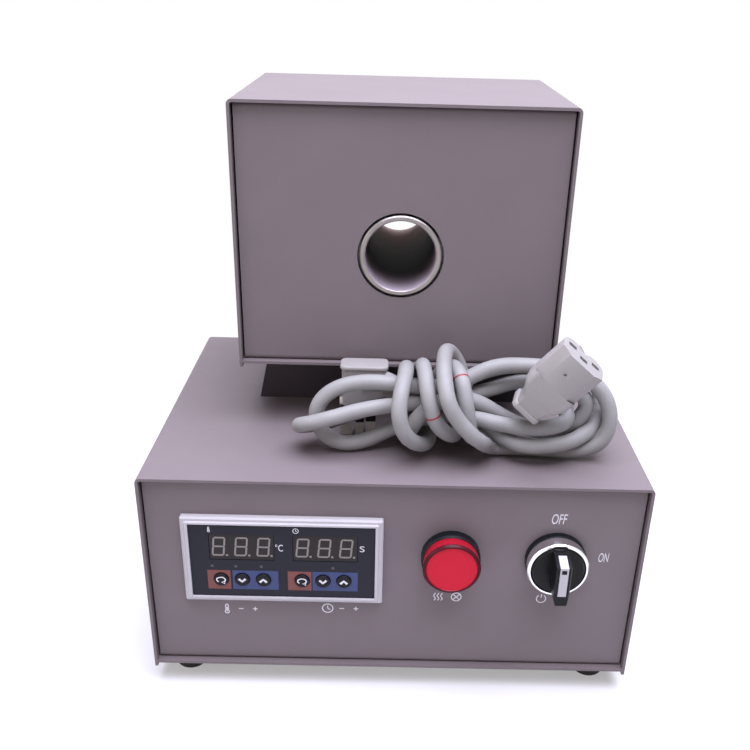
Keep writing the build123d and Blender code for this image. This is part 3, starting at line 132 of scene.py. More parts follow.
# Where the cord isn't wound, it follows these points.
TO_WRAP = (
    # out of the connector's back, behind it to the right
    (64.0, -61.0, 154.9), (66.3, -51.8, 155.3), (75.5, -47.7, 156.1), (86.0, -47.1, 154.4),
    # round the innermost loop
    (91.4, -48.0, 149.0), (89.0, -48.3, 141.3), (81.5, -47.1, 134.0), (72.7, -44.8, 130.7),
    (64.5, -42.7, 131.6),
    # under the connector and into the waist
    (56.9, -42.3, 134.9), (48.9, -43.8, 139.8), (39.6, -46.6, 147.0), (28.1, -50.4, 151.1),
    (17.1, -53.4, 149.0),
    # down to the winding
    (9.5, -54.5, 141.9), (6.2, -52.9, 133.1),
)
FROM_WRAP = (
    # off the winding's front
    (35.1, -66.3, 138.5), (40.4, -62.2, 133.1), (42.8, -55.4, 128.4),
    # along the top of the box
    (46.7, -50.1, 124.5), (57.0, -48.4, 123.9), (71.8, -49.5, 124.0),
    # round the outermost loop
    (86.5, -51.7, 124.4), (96.8, -53.0, 127.7), (101.7, -52.7, 135.2), (102.0, -51.1, 145.1),
    (97.8, -48.9, 154.7), (89.1, -46.6, 161.8), (76.6, -44.7, 164.9),
    # along the top of the hank
    (62.3, -42.9, 165.1), (49.1, -41.0, 164.3), (38.7, -41.3, 160.4), (28.9, -43.7, 154.5),
    (15.2, -45.2, 153.4),
    # round the left-hand loop
    (-1.1, -45.4, 155.3), (-16.6, -46.0, 156.3), (-29.2, -47.1, 153.4), (-37.3, -48.1, 146.6),
    (-39.4, -48.9, 137.7), (-35.4, -49.5, 129.2), (-27.0, -49.2, 124.2), (-16.5, -47.6, 124.5),
    (-5.3, -45.0, 129.4), (7.1, -43.9, 135.1), (21.0, -45.8, 139.0),
    # under the connector's lower edge and round
    (35.4, -50.0, 140.7), (49.4, -54.9, 139.5), (62.4, -57.5, 138.8), (73.4, -57.2, 139.6),
    (80.6, -54.6, 141.1), (81.6, -49.8, 144.4), (76.8, -43.5, 149.3),
    # back through the waist
    (68.4, -37.8, 153.3), (58.5, -34.9, 153.6), (47.3, -36.3, 150.1), (33.0, -40.7, 147.0),
    (16.0, -45.5, 145.8),
    # across the front to the flat left-hand fold
    (-1.3, -49.4, 145.9), (-16.8, -53.4, 144.9), (-29.6, -56.7, 142.1), (-39.3, -57.1, 139.3),
    (-45.4, -54.2, 136.6),
    # back behind it
    (-47.4, -49.6, 133.8), (-45.5, -45.2, 131.6), (-40.6, -42.2, 130.8), (-33.3, -40.4, 131.7),
    (-23.4, -38.7, 134.9), (-9.7, -36.8, 139.0), (8.1, -36.1, 141.3), (27.8, -38.9, 139.9),
    (44.1, -46.7, 134.9),
    # in front of the outermost loop and round
    (54.9, -55.8, 130.0), (63.9, -59.9, 130.5), (73.6, -60.0, 131.4), (84.0, -56.6, 132.0),
    (93.4, -50.2, 134.6), (98.9, -42.6, 141.4), (100.0, -36.6, 149.5), (94.0, -33.4, 155.6),
    (80.9, -32.3, 158.8),
    # behind the top strand to the plug
    (64.3, -32.0, 160.5), (47.7, -32.8, 159.7), (32.5, -35.6, 154.0), (17.4, -37.7, 148.9),
    (2.4, -36.9, 148.5), (-10.0, -35.0, 150.3), (-17.5, -35.0, 150.3),
)
# The red rings lie between these points of the winding and the next ones.
BAND_POINTS = (21, 31)
BAND_WIDE = 0.8
PRINT_RISE = 0.08
# The connector's own axes: X across its face, Y away from the viewer, Z out of its nose. Their directions
# come from a least-squares fit to points read off the photograph.
CONNECTOR_AT = (58.8, -59.6, 149.9)
CONNECTOR_AXIS = (0.612, -0.191, 0.768)
CONNECTOR_WIDE = (0.753, -0.155, -0.639)
CONNECTOR_LENGTH = 38.4
CONNECTOR_LEDGE = 21.3
CONNECTOR_HALF_W = 12.0
CONNECTOR_HALF_D = 8.2
CONNECTOR_CORNER = 2.6
# The corner that is cut off on either side of the nose
CONNECTOR_CUT = ((6.0, -9.0), (13.0, -9.0), (13.0, -3.8))
LOBE_R = 6.0
# Between the two lobes
NOTCH = [(1.2, 5.6), (0.45, 5.15)]
SLOT_WIDE = 4.6
SLOT_DEEP = 3.0
CONTACT_PLACES = ((-7.0, 1.6), (0.0, -2.4), (7.0, 1.6))
CONTACT_DEPTH = 14.0
# The grip from the ledge down: how far each step goes, and how its width and depth change
GRIP_STEPS = ((-3.5, 1.0, 1.0), (-3.0, 0.96, 1.0), (-3.0, 0.87, 0.99), (-3.5, 0.76, 0.97),
              (-4.6, 0.86, 0.95))
# A small round dimple in its near side
PIT_AT = (-2.0, -8.2, 29.6)
PIT_R = 0.75
PIT_DEEP = 1.6
# The square plate at its foot
FLANGE_HALF = 7.6
FLANGE_CORNER = 2.4
FLANGE_FOOT = 0.8
FLANGE_THICK = 3.2
# How far the edges of both mouldings, and of the plate and the taper, are rounded
EDGE_R = 0.8
PLATE_EDGE_R = 0.7
PLUG_LEFT = -28.2
PLUG_RIGHT = -4.3
# The taper's two ends along the cord, and its radius at each
PLUG_TAPER = ((-7.0, -35.8, 150.6), (3.0, -37.0, 148.6))
TAPER_R = (6.6, 4.7)
PLUG_FRONT = -37.8
PLUG_REAR = -24.8
PLUG_BOTTOM = 138.0
PLUG_RIM = 158.2
PLUG_TOP = 159.8
# The plug's foot, smaller than the plug, and how it widens up to its rim and there
PLUG_INSET = (1.4, 1.2)
PLUG_CORNER = 2.6
PLUG_WIDENS = (1.05, 1.06)
RIM_WIDENS = (1.06, 1.1)
PIN_PLACES = ((-25.2, 6.3, 4.0), (-18.4, 3.8, 6.4), (-12.9, 4.6, 4.0))
PIN_Y = -31.2
PIN_SOCKET = 4.0
# The sleeves on the pins: where they end, how thick they are and how far short of the plug they stop
SLEEVE_FOOT = 128.5
SLEEVE_WALL = 0.25
SLEEVE_GAP = 0.05
SLEEVE_EDGE_R = 0.4

# Turns what was drawn flat so that its Z looks forward
FORWARD = Matrix.Rotation(math.radians(90), 3, "X")


def metres(x, y, z):
    """A point given in millimetres."""
    return Vector((x, y, z)) * MM


# Camera

def make_camera():
    """The photograph's camera, its axis a little off the middle of the picture."""
    forward = Vector((math.sin(YAW) * math.cos(PITCH), math.cos(YAW) * math.cos(PITCH), -math.sin(PITCH)))
    level = Vector((math.cos(YAW), -math.sin(YAW), 0.0))
    above = level.cross(forward)
    right = math.cos(ROLL) * level + math.sin(ROLL) * above
    up = math.cos(ROLL) * above - math.sin(ROLL) * level
    data = bpy.data.cameras.new("photo_camera")
    data.sensor_width = SENSOR_MM
    data.lens = FOCAL_PX / FRAME_PX * SENSOR_MM
    data.shift_x = (FRAME_PX / 2 - CENTRE_PX[0]) / FRAME_PX
    data.shift_y = (CENTRE_PX[1] - FRAME_PX / 2) / FRAME_PX
    data.clip_start = 0.01
    data.clip_end = 50.0
    camera = bpy.data.objects.new("photo_camera", data)
    turn = Matrix((right, up, -forward)).transposed().to_4x4()
    camera.matrix_world = Matrix.Translation(metres(*CAMERA_MM)) @ turn
    bpy.context.scene.collection.objects.link(camera)
    bpy.context.scene.camera = camera


# Materials

def linear(code):
    """An sRGB hex colour as the linear colour that a shader takes."""
    parts = [int(code[i:i + 2], 16) / 255 for i in (1, 3, 5)]
    return [c / 12.92 if c <= 0.04045 else ((c + 0.055) / 1.055) ** 2.4 for c in parts] + [1.0]


def node(tree, kind, inputs=None, **settings):
    """A node with its settings, its values and its links."""
    made = tree.nodes.new(kind)
    for name, value in settings.items():
        setattr(made, name, value)
    for key, value in (inputs or {}).items():
        if isinstance(value, bpy.types.NodeSocket):
            tree.links.new(value, made.inputs[key])
        else:
            made.inputs[key].default_value = value
    return made


def principled(name, colour, roughness, metallic=0.0, sockets=None):
    """A material with its shader, its tree and the place of each point on the object."""
    material = bpy.data.materials.new(name)
    material.use_nodes = True
    tree = material.node_tree
    tree.nodes.clear()
    values = {"Base Color": linear(colour), "Roughness": roughness, "Metallic": metallic}
    values.update(sockets or {})
    shader = node(tree, "ShaderNodeBsdfPrincipled", values)
    node(tree, "ShaderNodeOutputMaterial", {"Surface": shader.outputs["BSDF"]})
    place = node(tree, "ShaderNodeTexCoord").outputs["Object"]
    return material, tree, shader, place


def mottled(tree, shader, place, low, high, size_mm, detail=3.0):
    """Base colour that drifts between two colours over patches of the given size."""
    patches = node(tree, "ShaderNodeTexNoise",
                   {"Vector": place, "Scale": 1 / (size_mm * MM), "Detail": detail})
    blend = node(tree, "ShaderNodeMix", {0: patches.outputs["Fac"], 6: linear(low), 7: linear(high)},
                 data_type="RGBA")
    tree.links.new(blend.outputs[2], shader.inputs["Base Color"])


def bumped(tree, shader, place, size_mm, depth_mm, detail=2.0):
    """Fine relief of the given grain and depth."""
    grain = node(tree, "ShaderNodeTexNoise",
                 {"Vector": place, "Scale": 1 / (size_mm * MM), "Detail": detail})
    relief = node(tree, "ShaderNodeBump", {"Height": grain.outputs["Fac"], "Distance": depth_mm * MM,
                                           "Strength": 1.0})
    tree.links.new(relief.outputs["Normal"], shader.inputs["Normal"])
    return grain


def powder_coat(name, colour, low, high):
    """Polyester powder coat, baked on sheet steel: satin, with an orange peel a millimetre wide."""
    material, tree, shader, place = principled(name, colour, 0.52, sockets={"Specular IOR Level": 0.35})
    mottled(tree, shader, place, low, high, 34.0)
    grain = bumped(tree, shader, place, 0.9, 0.05)
    gloss = node(tree, "ShaderNodeMapRange", {"Value": grain.outputs["Fac"], "To Min": 0.46, "To Max": 0.6})
    tree.links.new(gloss.outputs["Result"], shader.inputs["Roughness"])
    return material


def moulded(name, colour, roughness, grain_mm=0.6, depth_mm=0.015, sockets=None):
    """Injection-moulded thermoplastic with the fine texture of its mould."""
    material, tree, shader, place = principled(name, colour, roughness, sockets=sockets)
    bumped(tree, shader, place, grain_mm, depth_mm)
    return material


def bright_metal(name, colour, roughness):
    """Bare or plated metal: a soft gloss with a fine cloudiness."""
    material, tree, shader, place = principled(name, colour, roughness, 1.0)
    cloud = node(tree, "ShaderNodeTexNoise", {"Vector": place, "Scale": 1 / (1.5 * MM), "Detail": 4.0})
    gloss = node(tree, "ShaderNodeMapRange", {"Value": cloud.outputs["Fac"], "To Min": roughness - 0.08,
                                              "To Max": roughness + 0.12})
    tree.links.new(gloss.outputs["Result"], shader.inputs["Roughness"])
    return material


def away_from_axis(tree, parts, x, z):
    """How far a point lies from the axis that runs front to back through a place given in millimetres."""
    across = node(tree, "ShaderNodeMath", {0: parts.outputs["X"], 1: x * MM}, operation="SUBTRACT")
    rise = node(tree, "ShaderNodeMath", {0: parts.outputs["Z"], 1: z * MM}, operation="SUBTRACT")
    flat = node(tree, "ShaderNodeCombineXYZ", {"X": across.outputs[0], "Y": rise.outputs[0]})
    return node(tree, "ShaderNodeVectorMath", {0: flat.outputs[0]}, operation="LENGTH").outputs["Value"]


def tube_steel():
    """Heat-proof steel tube: a turned, stained end, and a bore gone brown with heat, with painted shade and
    painted light along it.
    """
    material, tree, shader, place = principled("heat_tinted_steel_painted_shade_and_light", "#a39c9e", 0.42, 1.0,
                                               {"Specular IOR Level": 0.12})
    parts = node(tree, "ShaderNodeSeparateXYZ", {"Vector": place})
    radius = away_from_axis(tree, parts, 0.0, TUBE_Z)
    in_bore = node(tree, "ShaderNodeMapRange", {"Value": radius,
                                                "From Min": (TUBE_BORE_R + 0.05) * MM,
                                                "From Max": (TUBE_BORE_R + 0.35) * MM,
                                                "To Min": 1.0, "To Max": 0.0})
    stain = node(tree, "ShaderNodeTexNoise", {"Vector": place, "Scale": 1 / (7 * MM), "Detail": 5.0})
    rim = node(tree, "ShaderNodeMix", {0: stain.outputs["Fac"], 6: linear("#7d7576"), 7: linear("#b2aaaa")},
               data_type="RGBA")
    # Along the bore: lighter near the front mouth, partly less heat tint and partly painted light; near
    # black in the middle, brown heat tint deepened by painted shade; lighter towards the rear mouth, painted
    # light from behind.
    depth = node(tree, "ShaderNodeMapRange", {"Value": parts.outputs["Y"],
                                              "From Min": FURNACE_FRONT * MM, "From Max": REAR_FACE * MM})
    heat = node(tree, "ShaderNodeValToRGB", {"Fac": depth.outputs["Result"]})
    ramp = heat.color_ramp.elements
    ramp[0].color = linear("#b9adb8")
    ramp[1].position = 0.14
    ramp[1].color = linear("#83747a")
    for position, colour in ((0.27, "#1c1314"), (0.55, "#2c1e1d"), (0.78, "#8a6c66"), (1.0, "#c9b0a8")):
        ramp.new(position).color = linear(colour)
    scale = node(tree, "ShaderNodeMix", {0: 0.3, 6: heat.outputs["Color"], 7: stain.outputs["Fac"]},
                 data_type="RGBA", blend_type="MULTIPLY")
    both = node(tree, "ShaderNodeMix",
                {0: in_bore.outputs["Result"], 6: rim.outputs[2], 7: scale.outputs[2]}, data_type="RGBA")
    tree.links.new(both.outputs[2], shader.inputs["Base Color"])
    bare = node(tree, "ShaderNodeMapRange",
                {"Value": in_bore.outputs["Result"], "To Min": 1.0, "To Max": 0.0})
    tree.links.new(bare.outputs["Result"], shader.inputs["Metallic"])
    matt = node(tree, "ShaderNodeMapRange",
                {"Value": in_bore.outputs["Result"], "To Min": 0.4, "To Max": 0.65})
    tree.links.new(matt.outputs["Result"], shader.inputs["Roughness"])
    # turning marks: rings round the tube's axis
    marks = node(tree, "ShaderNodeMath", {0: radius, 1: 2 * math.pi / (TURNING_PITCH * MM)},
                 operation="MULTIPLY")
    wave = node(tree, "ShaderNodeMath", {0: marks.outputs[0]}, operation="SINE")
    relief = node(tree, "ShaderNodeBump",
                  {"Height": wave.outputs[0], "Distance": 0.01 * MM, "Strength": 0.4})
    tree.links.new(relief.outputs["Normal"], shader.inputs["Normal"])
    return material


def cord_jacket():
    """Soft PVC sheath, extruded: satin, a little dusty, with a faint unevenness."""
    material, tree, shader, place = principled("pvc_sheath", "#9b9997", 0.5,
                                               sockets={"Specular IOR Level": 0.35})
    mottled(tree, shader, place, "#8f8d8b", "#a5a3a1", 9.0, 4.0)
    bumped(tree, shader, place, 1.6, 0.03)
    return material


def lens_red():
    """Tinted polycarbonate lens: a bright flat face inside a rim of painted shade, and a side made a deeper
    red by painted shade.
    """
    material, tree, shader, place = principled("red_polycarbonate", "#da2038", 0.3,
                                               sockets={"Specular IOR Level": 0.15})
    parts = node(tree, "ShaderNodeSeparateXYZ", {"Vector": place})
    radius = away_from_axis(tree, parts, *LAMP)
    # Painted shade: the rim round the face is a dark red and the side a deeper red, for light lost in the
    # lens's thick translucent edge.
    on_rim = node(tree, "ShaderNodeMapRange", {"Value": radius,
                                               "From Min": (LAMP_FACE_R - 0.1) * MM,
                                               "From Max": (LAMP_FACE_R + 0.3) * MM})
    near_front = node(tree, "ShaderNodeMapRange", {"Value": parts.outputs["Y"],
                                                   "From Min": (LENS_FRONT + 1.2) * MM,
                                                   "From Max": (LENS_FRONT + 2.0) * MM,
                                                   "To Min": 1.0, "To Max": 0.0})
    painted_rim_shade = node(tree, "ShaderNodeMath", {0: on_rim.outputs["Result"], 1: near_front.outputs["Result"]},
                operation="MULTIPLY")
    body = node(tree, "ShaderNodeMix", {0: near_front.outputs["Result"], 6: linear("#a8182b"),
                                        7: linear("#da2038")}, data_type="RGBA")
    blend = node(tree, "ShaderNodeMix", {0: painted_rim_shade.outputs[0], 6: body.outputs[2], 7: linear("#4c0c18")},
                 data_type="RGBA")
    tree.links.new(blend.outputs[2], shader.inputs["Base Color"])
    return material


def ceramic_fibre():
    """Felted ceramic fibre with a woolly surface."""
    material, tree, shader, place = principled("ceramic_fibre", "#e4e0d8", 0.9)
    mottled(tree, shader, place, "#d6d0c4", "#efece6", 5.0, 5.0)
    bumped(tree, shader, place, 1.2, 0.5, 5.0)
    return material


MATERIALS = {
    "box_paint": powder_coat("powder_coat", "#7d7275", "#796e71", "#827779"),
    # The neck's paint is much darker than the boxes': painted shade for the shadow under the furnace box.
    "neck_paint": powder_coat("powder_coat_neck_painted_shade", "#3c343a", "#393137", "#40383e"),
    "black_rubber": moulded("nitrile_rubber", "#1c1b1c", 0.75, 0.8, 0.04),
    "screw_steel": bright_metal("zinc_plate", "#b4b4b8", 0.34),
    "tube_steel": tube_steel(),
    "zinc_sheet": bright_metal("galvanised_sheet", "#a8aaac", 0.42),
    "white_ceramic": moulded("steatite", "#dedad0", 0.6, 0.5, 0.03),
    "fibre_wrap": ceramic_fibre(),
    "sleeve": moulded("glass_sleeving", "#cfc8b8", 0.8, 0.7, 0.15),
    "black_plastic": moulded("black_polyamide", "#121419", 0.42, sockets={"Specular IOR Level": 0.2}),
    "bezel_plastic": moulded("white_abs", "#ccc8cb", 0.4, 0.5, 0.008),
    "window_plastic": moulded("tinted_overlay", "#25252f", 0.4, 0.4, 0.006, {"Specular IOR Level": 0.2}),
    "display_face": moulded("display_filter", "#2f2b2b", 0.4, 0.4, 0.004, {"Specular IOR Level": 0.2}),
    "board": moulded("circuit_board", "#1d4a2c", 0.45),
    "red_lens": lens_red(),
    "chrome_ring": principled("polished_chrome", "#f2f2f4", 0.2, 1.0)[0],
    "knob_plastic": moulded("black_polycarbonate", "#0e0e10", 0.3, 0.5, 0.006, {"Specular IOR Level": 0.2}),
    "white_inlay": moulded("white_acrylic", "#c6c4c8", 0.3, 0.5, 0.004),
    "key_plastic": moulded("key_membrane", "#17161b", 0.4, 0.4, 0.006, {"Specular IOR Level": 0.2}),
    "brass_contact": bright_metal("brass", "#c9a865", 0.3),
    "pin_metal": bright_metal("nickel_plate", "#efebe2", 0.34),
    "cord_jacket": cord_jacket(),
    "lead_plastic": moulded("soft_pvc_moulding", "#a39e9c", 0.5, 0.7, 0.02),
}

# Finishes of prints and small pieces that share a slot with something else
PANEL_INK = moulded("screen_ink_white", "#ece9ec", 0.5, 0.4, 0.004)
SEGMENT = moulded("unlit_segment", "#8f8781", 0.45, 0.4, 0.003)
RED_FIELD = moulded("overlay_ink_red", "#7d413a", 0.4, 0.5, 0.004)
BLUE_FIELD = moulded("overlay_ink_blue", "#303f72", 0.4, 0.5, 0.004)
DARK_DIODE = moulded("unlit_diode", "#4c4543", 0.35, 0.4, 0.003)
PIN_SLEEVE = moulded("pin_sleeve", "#1b1a1c", 0.4, 0.5, 0.01)
INSPECTION_RED = moulded("marking_ink_red", "#9a343a", 0.5, 0.4, 0.004)


def dress_nodes():
    """Every node of the frame gets the material of its slot."""
    for row in frame["record"]["subparts"]:
        mesh = frame["nodes"][row["node"]].data
        mesh.materials.clear()
        mesh.materials.append(MATERIALS[row["material_slot"]])


# Mesh helpers

def finish_piece(name, mesh, slot, body="housing", material=None, smooth_deg=35.0):
    """A piece of the scene, in its material, riding on its body."""
    piece = bpy.data.objects.new(name, mesh)
    bpy.context.scene.collection.objects.link(piece)
    mesh.materials.clear()
    mesh.materials.append(material or MATERIALS[slot])
    mesh.shade_smooth()
    mesh.set_sharp_from_angle(angle=math.radians(smooth_deg))
    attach(piece, body)
    return piece


def mesh_of(bm, name):
    """The finished mesh of a working one."""
    mesh = bpy.data.meshes.new(name)
    bm.to_mesh(mesh)
    bm.free()
    return mesh


def baked(data, name):
    """The mesh that Blender makes of a curve, a text or a mesh with modifiers."""
    sketch = data if isinstance(data, bpy.types.Object) else bpy.data.objects.new(name, data)
    if sketch.name not in bpy.context.scene.collection.objects:
        bpy.context.scene.collection.objects.link(sketch)
    bpy.context.view_layer.update()
    mesh = bpy.data.meshes.new_from_object(sketch.evaluated_get(bpy.context.evaluated_depsgraph_get()))
    mesh.name = name
    bpy.data.objects.remove(sketch)
    return mesh


def cut_out(bm, cutter, name):
    """The first shape without the second."""
    body = bpy.data.objects.new(name, mesh_of(bm, name))
    tool = bpy.data.objects.new(name + "_tool", mesh_of(cutter, name + "_tool"))
    bpy.context.scene.collection.objects.link(tool)
    cut = body.modifiers.new("cut", "BOOLEAN")
    cut.operation = "DIFFERENCE"
    cut.solver = "EXACT"
    cut.object = tool
    mesh = baked(body, name)
    bpy.data.objects.remove(tool)
    return mesh


def box_into(bm, low, high):
    """A box between two corners."""
    verts = bmesh.ops.create_cube(bm, size=1.0)["verts"]
    size = [b - a for a, b in zip(low, high)]
    bmesh.ops.scale(bm, verts=verts, vec=size)
    bmesh.ops.translate(bm, verts=verts, vec=[(a + b) / 2 for a, b in zip(low, high)])


def grown(bm, face, rise, wide=1.0, deep=1.0):
    """Extrudes a level face along Z and scales it about the axis. Returns the new face."""
    made = bmesh.ops.extrude_face_region(bm, geom=[face])["geom"]
    face = next(item for item in made if isinstance(item, bmesh.types.BMFace))
    bmesh.ops.scale(bm, verts=face.verts, vec=(wide, deep, 1.0))
    bmesh.ops.translate(bm, verts=face.verts, vec=(0, 0, rise))
    return face


def soften(bm, radius, segments=3, from_deg=25.0):
    """Rounds every edge where the faces turn by more than an angle."""
    limit = math.radians(from_deg)
    sharp = [edge for edge in bm.edges if edge.is_manifold and edge.calc_face_angle() > limit]
    bmesh.ops.bevel(bm, geom=sharp, offset=radius, segments=segments, profile=0.5, affect="EDGES",
                    material=-1, clamp_overlap=True)


def rounded_face(bm, half_w, half_h, radius, segments=5):
    """A level face with rounded corners."""
    verts = bmesh.ops.create_grid(bm, x_segments=1, y_segments=1, size=1.0)["verts"]
    bmesh.ops.scale(bm, verts=verts, vec=(half_w, half_h, 1.0))
    bmesh.ops.bevel(bm, geom=verts, offset=radius, segments=segments, profile=0.5, affect="VERTICES",
                    material=-1)
    bm.faces.ensure_lookup_table()
    return bm.faces[-1]


# Mains lead

def between(values, place):
    """The value at a place in a list of them, on the straight line between two neighbours."""
    place = min(max(place, 0.0), len(values) - 1.0001)
    step = int(place)
    return values[step] + (values[step + 1] - values[step]) * (place - step)


def lean(turns):
    """How far along X the winding is, on a smooth curve through its quarter turns."""
    quarter = int(4 * turns)
    part = 4 * turns - quarter
    before, here, after, beyond = WRAP_X[quarter - 1:quarter + 3]
    bend = 2 * before - 5 * here + 4 * after - beyond + part * (3 * (here - after) + beyond - before)
    return here + 0.5 * part * (after - before + part * bend)


def wrap_point(turns):
    """A point on the winding, counted in turns from the top: forward, down, back and up again."""
    front = between(WRAP_FRONTS, turns - 0.25)
    rear = between(WRAP_REARS, turns + 0.25)
    top = between(WRAP_TOPS, turns)
    bottom = between(WRAP_BOTTOMS, turns + 0.5)
    angle = 2 * math.pi * turns
    return (lean(turns), (front + rear - (rear - front) * math.sin(angle)) / 2,
            (top + bottom + (top - bottom) * math.cos(angle)) / 2)


def lead_route():
    """The cord's points, from the connector's back to its seat in the plug."""
    turns = [(i + 0.5) / POINTS_A_TURN for i in range(round(WRAP_LAST * POINTS_A_TURN))]
    winding = [wrap_point(t) for t in turns if t > WRAP_FIRST]
    return [Vector(point) for point in (*TO_WRAP, *winding, *FROM_WRAP)]


def mains_cord():
    """The lead's cord on one smooth line."""
    route = lead_route()
    curve = bpy.data.curves.new("mains_cord", "CURVE")
    curve.dimensions = "3D"
    curve.bevel_depth = CORD_R * MM
    curve.bevel_resolution = 6
    curve.resolution_u = 10
    curve.use_fill_caps = True
    spline = curve.splines.new("NURBS")
    spline.points.add(len(route) - 1)
    for point, at in zip(spline.points, route):
        point.co = (*(at * MM), 1.0)
    spline.order_u = 3
    spline.use_endpoint_u = True
    curve.materials.append(MATERIALS["cord_jacket"])
    cord = bpy.data.objects.new("mains_cord", curve)
    bpy.context.scene.collection.objects.link(cord)
    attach(cord, "housing")
    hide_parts("lead_hank")
    return cord, route


def inspection_bands(route):
    """Thin red rings printed round the cord, on the front of the winding."""
    bm = bmesh.new()
    for i in BAND_POINTS:
        here, beyond = route[len(TO_WRAP) + i:len(TO_WRAP) + i + 2]
        ring = bmesh.ops.create_cone(bm, cap_ends=True, segments=32, radius1=CORD_R + PRINT_RISE,
                                     radius2=CORD_R + PRINT_RISE, depth=BAND_WIDE)["verts"]
        turn = (beyond - here).to_track_quat("Z", "Y").to_matrix()
        bmesh.ops.rotate(bm, verts=ring, cent=(0, 0, 0), matrix=turn)
        bmesh.ops.translate(bm, verts=ring, vec=(here + beyond) / 2)
    bmesh.ops.scale(bm, verts=bm.verts, vec=(MM, MM, MM))
    return finish_piece("inspection_bands", mesh_of(bm, "inspection_bands"), "cord_jacket",
                        material=INSPECTION_RED)


# Connector and plug

def connector_place():
    """Puts what is drawn in the connector's own axes in its place, in metres."""
    axis = Vector(CONNECTOR_AXIS).normalized()
    across = Vector(CONNECTOR_WIDE)
    across = (across - axis * across.dot(axis)).normalized()
    turn = Matrix((across, axis.cross(across), axis)).transposed().to_4x4()
    return Matrix.Translation(Vector(CONNECTOR_AT) * MM) @ turn @ Matrix.Scale(MM, 4)


def connector_outline():
    """Across the connector, all but its cut corners: a straight near side and two round lobes behind."""
    across = CONNECTOR_HALF_W - CONNECTOR_CORNER
    deep = CONNECTOR_HALF_D - CONNECTOR_CORNER
    right = [(across + CONNECTOR_CORNER * math.sin(t), -deep - CONNECTOR_CORNER * math.cos(t))
             for t in (math.radians(18 * i) for i in range(6))]
    right += [(LOBE_R * (1 + math.cos(t)), CONNECTOR_HALF_D - LOBE_R + LOBE_R * math.sin(t))
              for t in (math.radians(12 * i) for i in range(11))]
    right += NOTCH
    return right + [(-x, y) for x, y in reversed(right)]


def connector_moulding():
    """Grip that swells to a straight nose with its two near corners cut off, and the flange at its foot."""
    bm = bmesh.new()
    face = bm.faces.new([bm.verts.new((x, y, CONNECTOR_LEDGE)) for x, y in connector_outline()])
    grown(bm, face, CONNECTOR_LENGTH - CONNECTOR_LEDGE)
    bm.faces.ensure_lookup_table()
    foot = next(f for f in bm.faces if all(abs(v.co.z - CONNECTOR_LEDGE) < 0.01 for v in f.verts))
    for rise, wide, deep in GRIP_STEPS:
        foot = grown(bm, foot, rise, wide, deep)
    bmesh.ops.recalc_face_normals(bm, faces=bm.faces)
    soften(bm, EDGE_R, 3, 50.0)
    tool = bmesh.new()
    for side in (-1, 1):
        corner = [tool.verts.new((side * x, y, CONNECTOR_LEDGE)) for x, y in CONNECTOR_CUT]
        grown(tool, tool.faces.new(corner), CONNECTOR_LENGTH)
    for x, y in CONTACT_PLACES:
        box_into(tool, (x - SLOT_WIDE / 2, y - SLOT_DEEP / 2, CONNECTOR_LENGTH - CONTACT_DEPTH),
                 (x + SLOT_WIDE / 2, y + SLOT_DEEP / 2, CONNECTOR_LENGTH + 1))
    pit = bmesh.ops.create_cone(tool, cap_ends=True, segments=16, radius1=PIT_R, radius2=PIT_R,
                                depth=PIT_DEEP)["verts"]
    bmesh.ops.rotate(tool, verts=pit, cent=(0, 0, 0), matrix=FORWARD)
    bmesh.ops.translate(tool, verts=pit, vec=PIT_AT)
    bmesh.ops.recalc_face_normals(tool, faces=tool.faces)
    mesh = cut_out(bm, tool, "connector_moulding")
    mesh.transform(connector_place())
    piece = finish_piece("connector_moulding", mesh, "lead_plastic", smooth_deg=50.0)
    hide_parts("lead_connector")

    bm = bmesh.new()
    face = rounded_face(bm, FLANGE_HALF, FLANGE_HALF, FLANGE_CORNER)
    grown(bm, face, FLANGE_THICK)
    bmesh.ops.recalc_face_normals(bm, faces=bm.faces)
    soften(bm, PLATE_EDGE_R, 3, 60.0)
    bmesh.ops.translate(bm, verts=bm.verts, vec=(0, 0, FLANGE_FOOT))
    mesh = mesh_of(bm, "connector_flange")
    mesh.transform(connector_place())
    return [piece, finish_piece("connector_flange", mesh, "lead_plastic")]


def plug_moulding():
    """Plug that stands on its pins: a body, a flat rim round its back, and a taper that holds the cord."""
    centre = ((PLUG_RIGHT + PLUG_LEFT) / 2, (PLUG_FRONT + PLUG_REAR) / 2, PLUG_BOTTOM)
    half_w = (PLUG_RIGHT - PLUG_LEFT) / 2
    half_h = (PLUG_REAR - PLUG_FRONT) / 2
    bm = bmesh.new()
    face = rounded_face(bm, half_w - PLUG_INSET[0], half_h - PLUG_INSET[1], PLUG_CORNER)
    face = grown(bm, face, PLUG_RIM - PLUG_BOTTOM, *PLUG_WIDENS)
    face = grown(bm, face, 0.0, *RIM_WIDENS)
    face = grown(bm, face, PLUG_TOP - PLUG_RIM)
    bmesh.ops.recalc_face_normals(bm, faces=bm.faces)
    soften(bm, EDGE_R, 3, 50.0)
    tool = bmesh.new()
    for x, wide, deep in PIN_PLACES:
        box_into(tool, (x - wide / 2 - centre[0], PIN_Y - deep / 2 - centre[1], -1.0),
                 (x + wide / 2 - centre[0], PIN_Y + deep / 2 - centre[1], PIN_SOCKET))
    mesh = cut_out(bm, tool, "plug_moulding")
    mesh.transform(Matrix.Translation(metres(*centre)) @ Matrix.Scale(MM, 4))
    piece = finish_piece("plug_moulding", mesh, "lead_plastic")
    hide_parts("lead_plug")

    low = Vector(PLUG_TAPER[0])
    run = Vector(PLUG_TAPER[1]) - low
    bm = bmesh.new()
    bmesh.ops.create_cone(bm, cap_ends=True, segments=32, radius1=TAPER_R[0], radius2=TAPER_R[1],
                          depth=run.length)
    soften(bm, PLATE_EDGE_R, 3, 60.0)
    mesh = mesh_of(bm, "plug_taper")
    turn = run.to_track_quat("Z", "Y").to_matrix().to_4x4()
    mesh.transform(Matrix.Scale(MM, 4) @ Matrix.Translation(low + run / 2) @ turn)
    return [piece, finish_piece("plug_taper", mesh, "lead_plastic")]


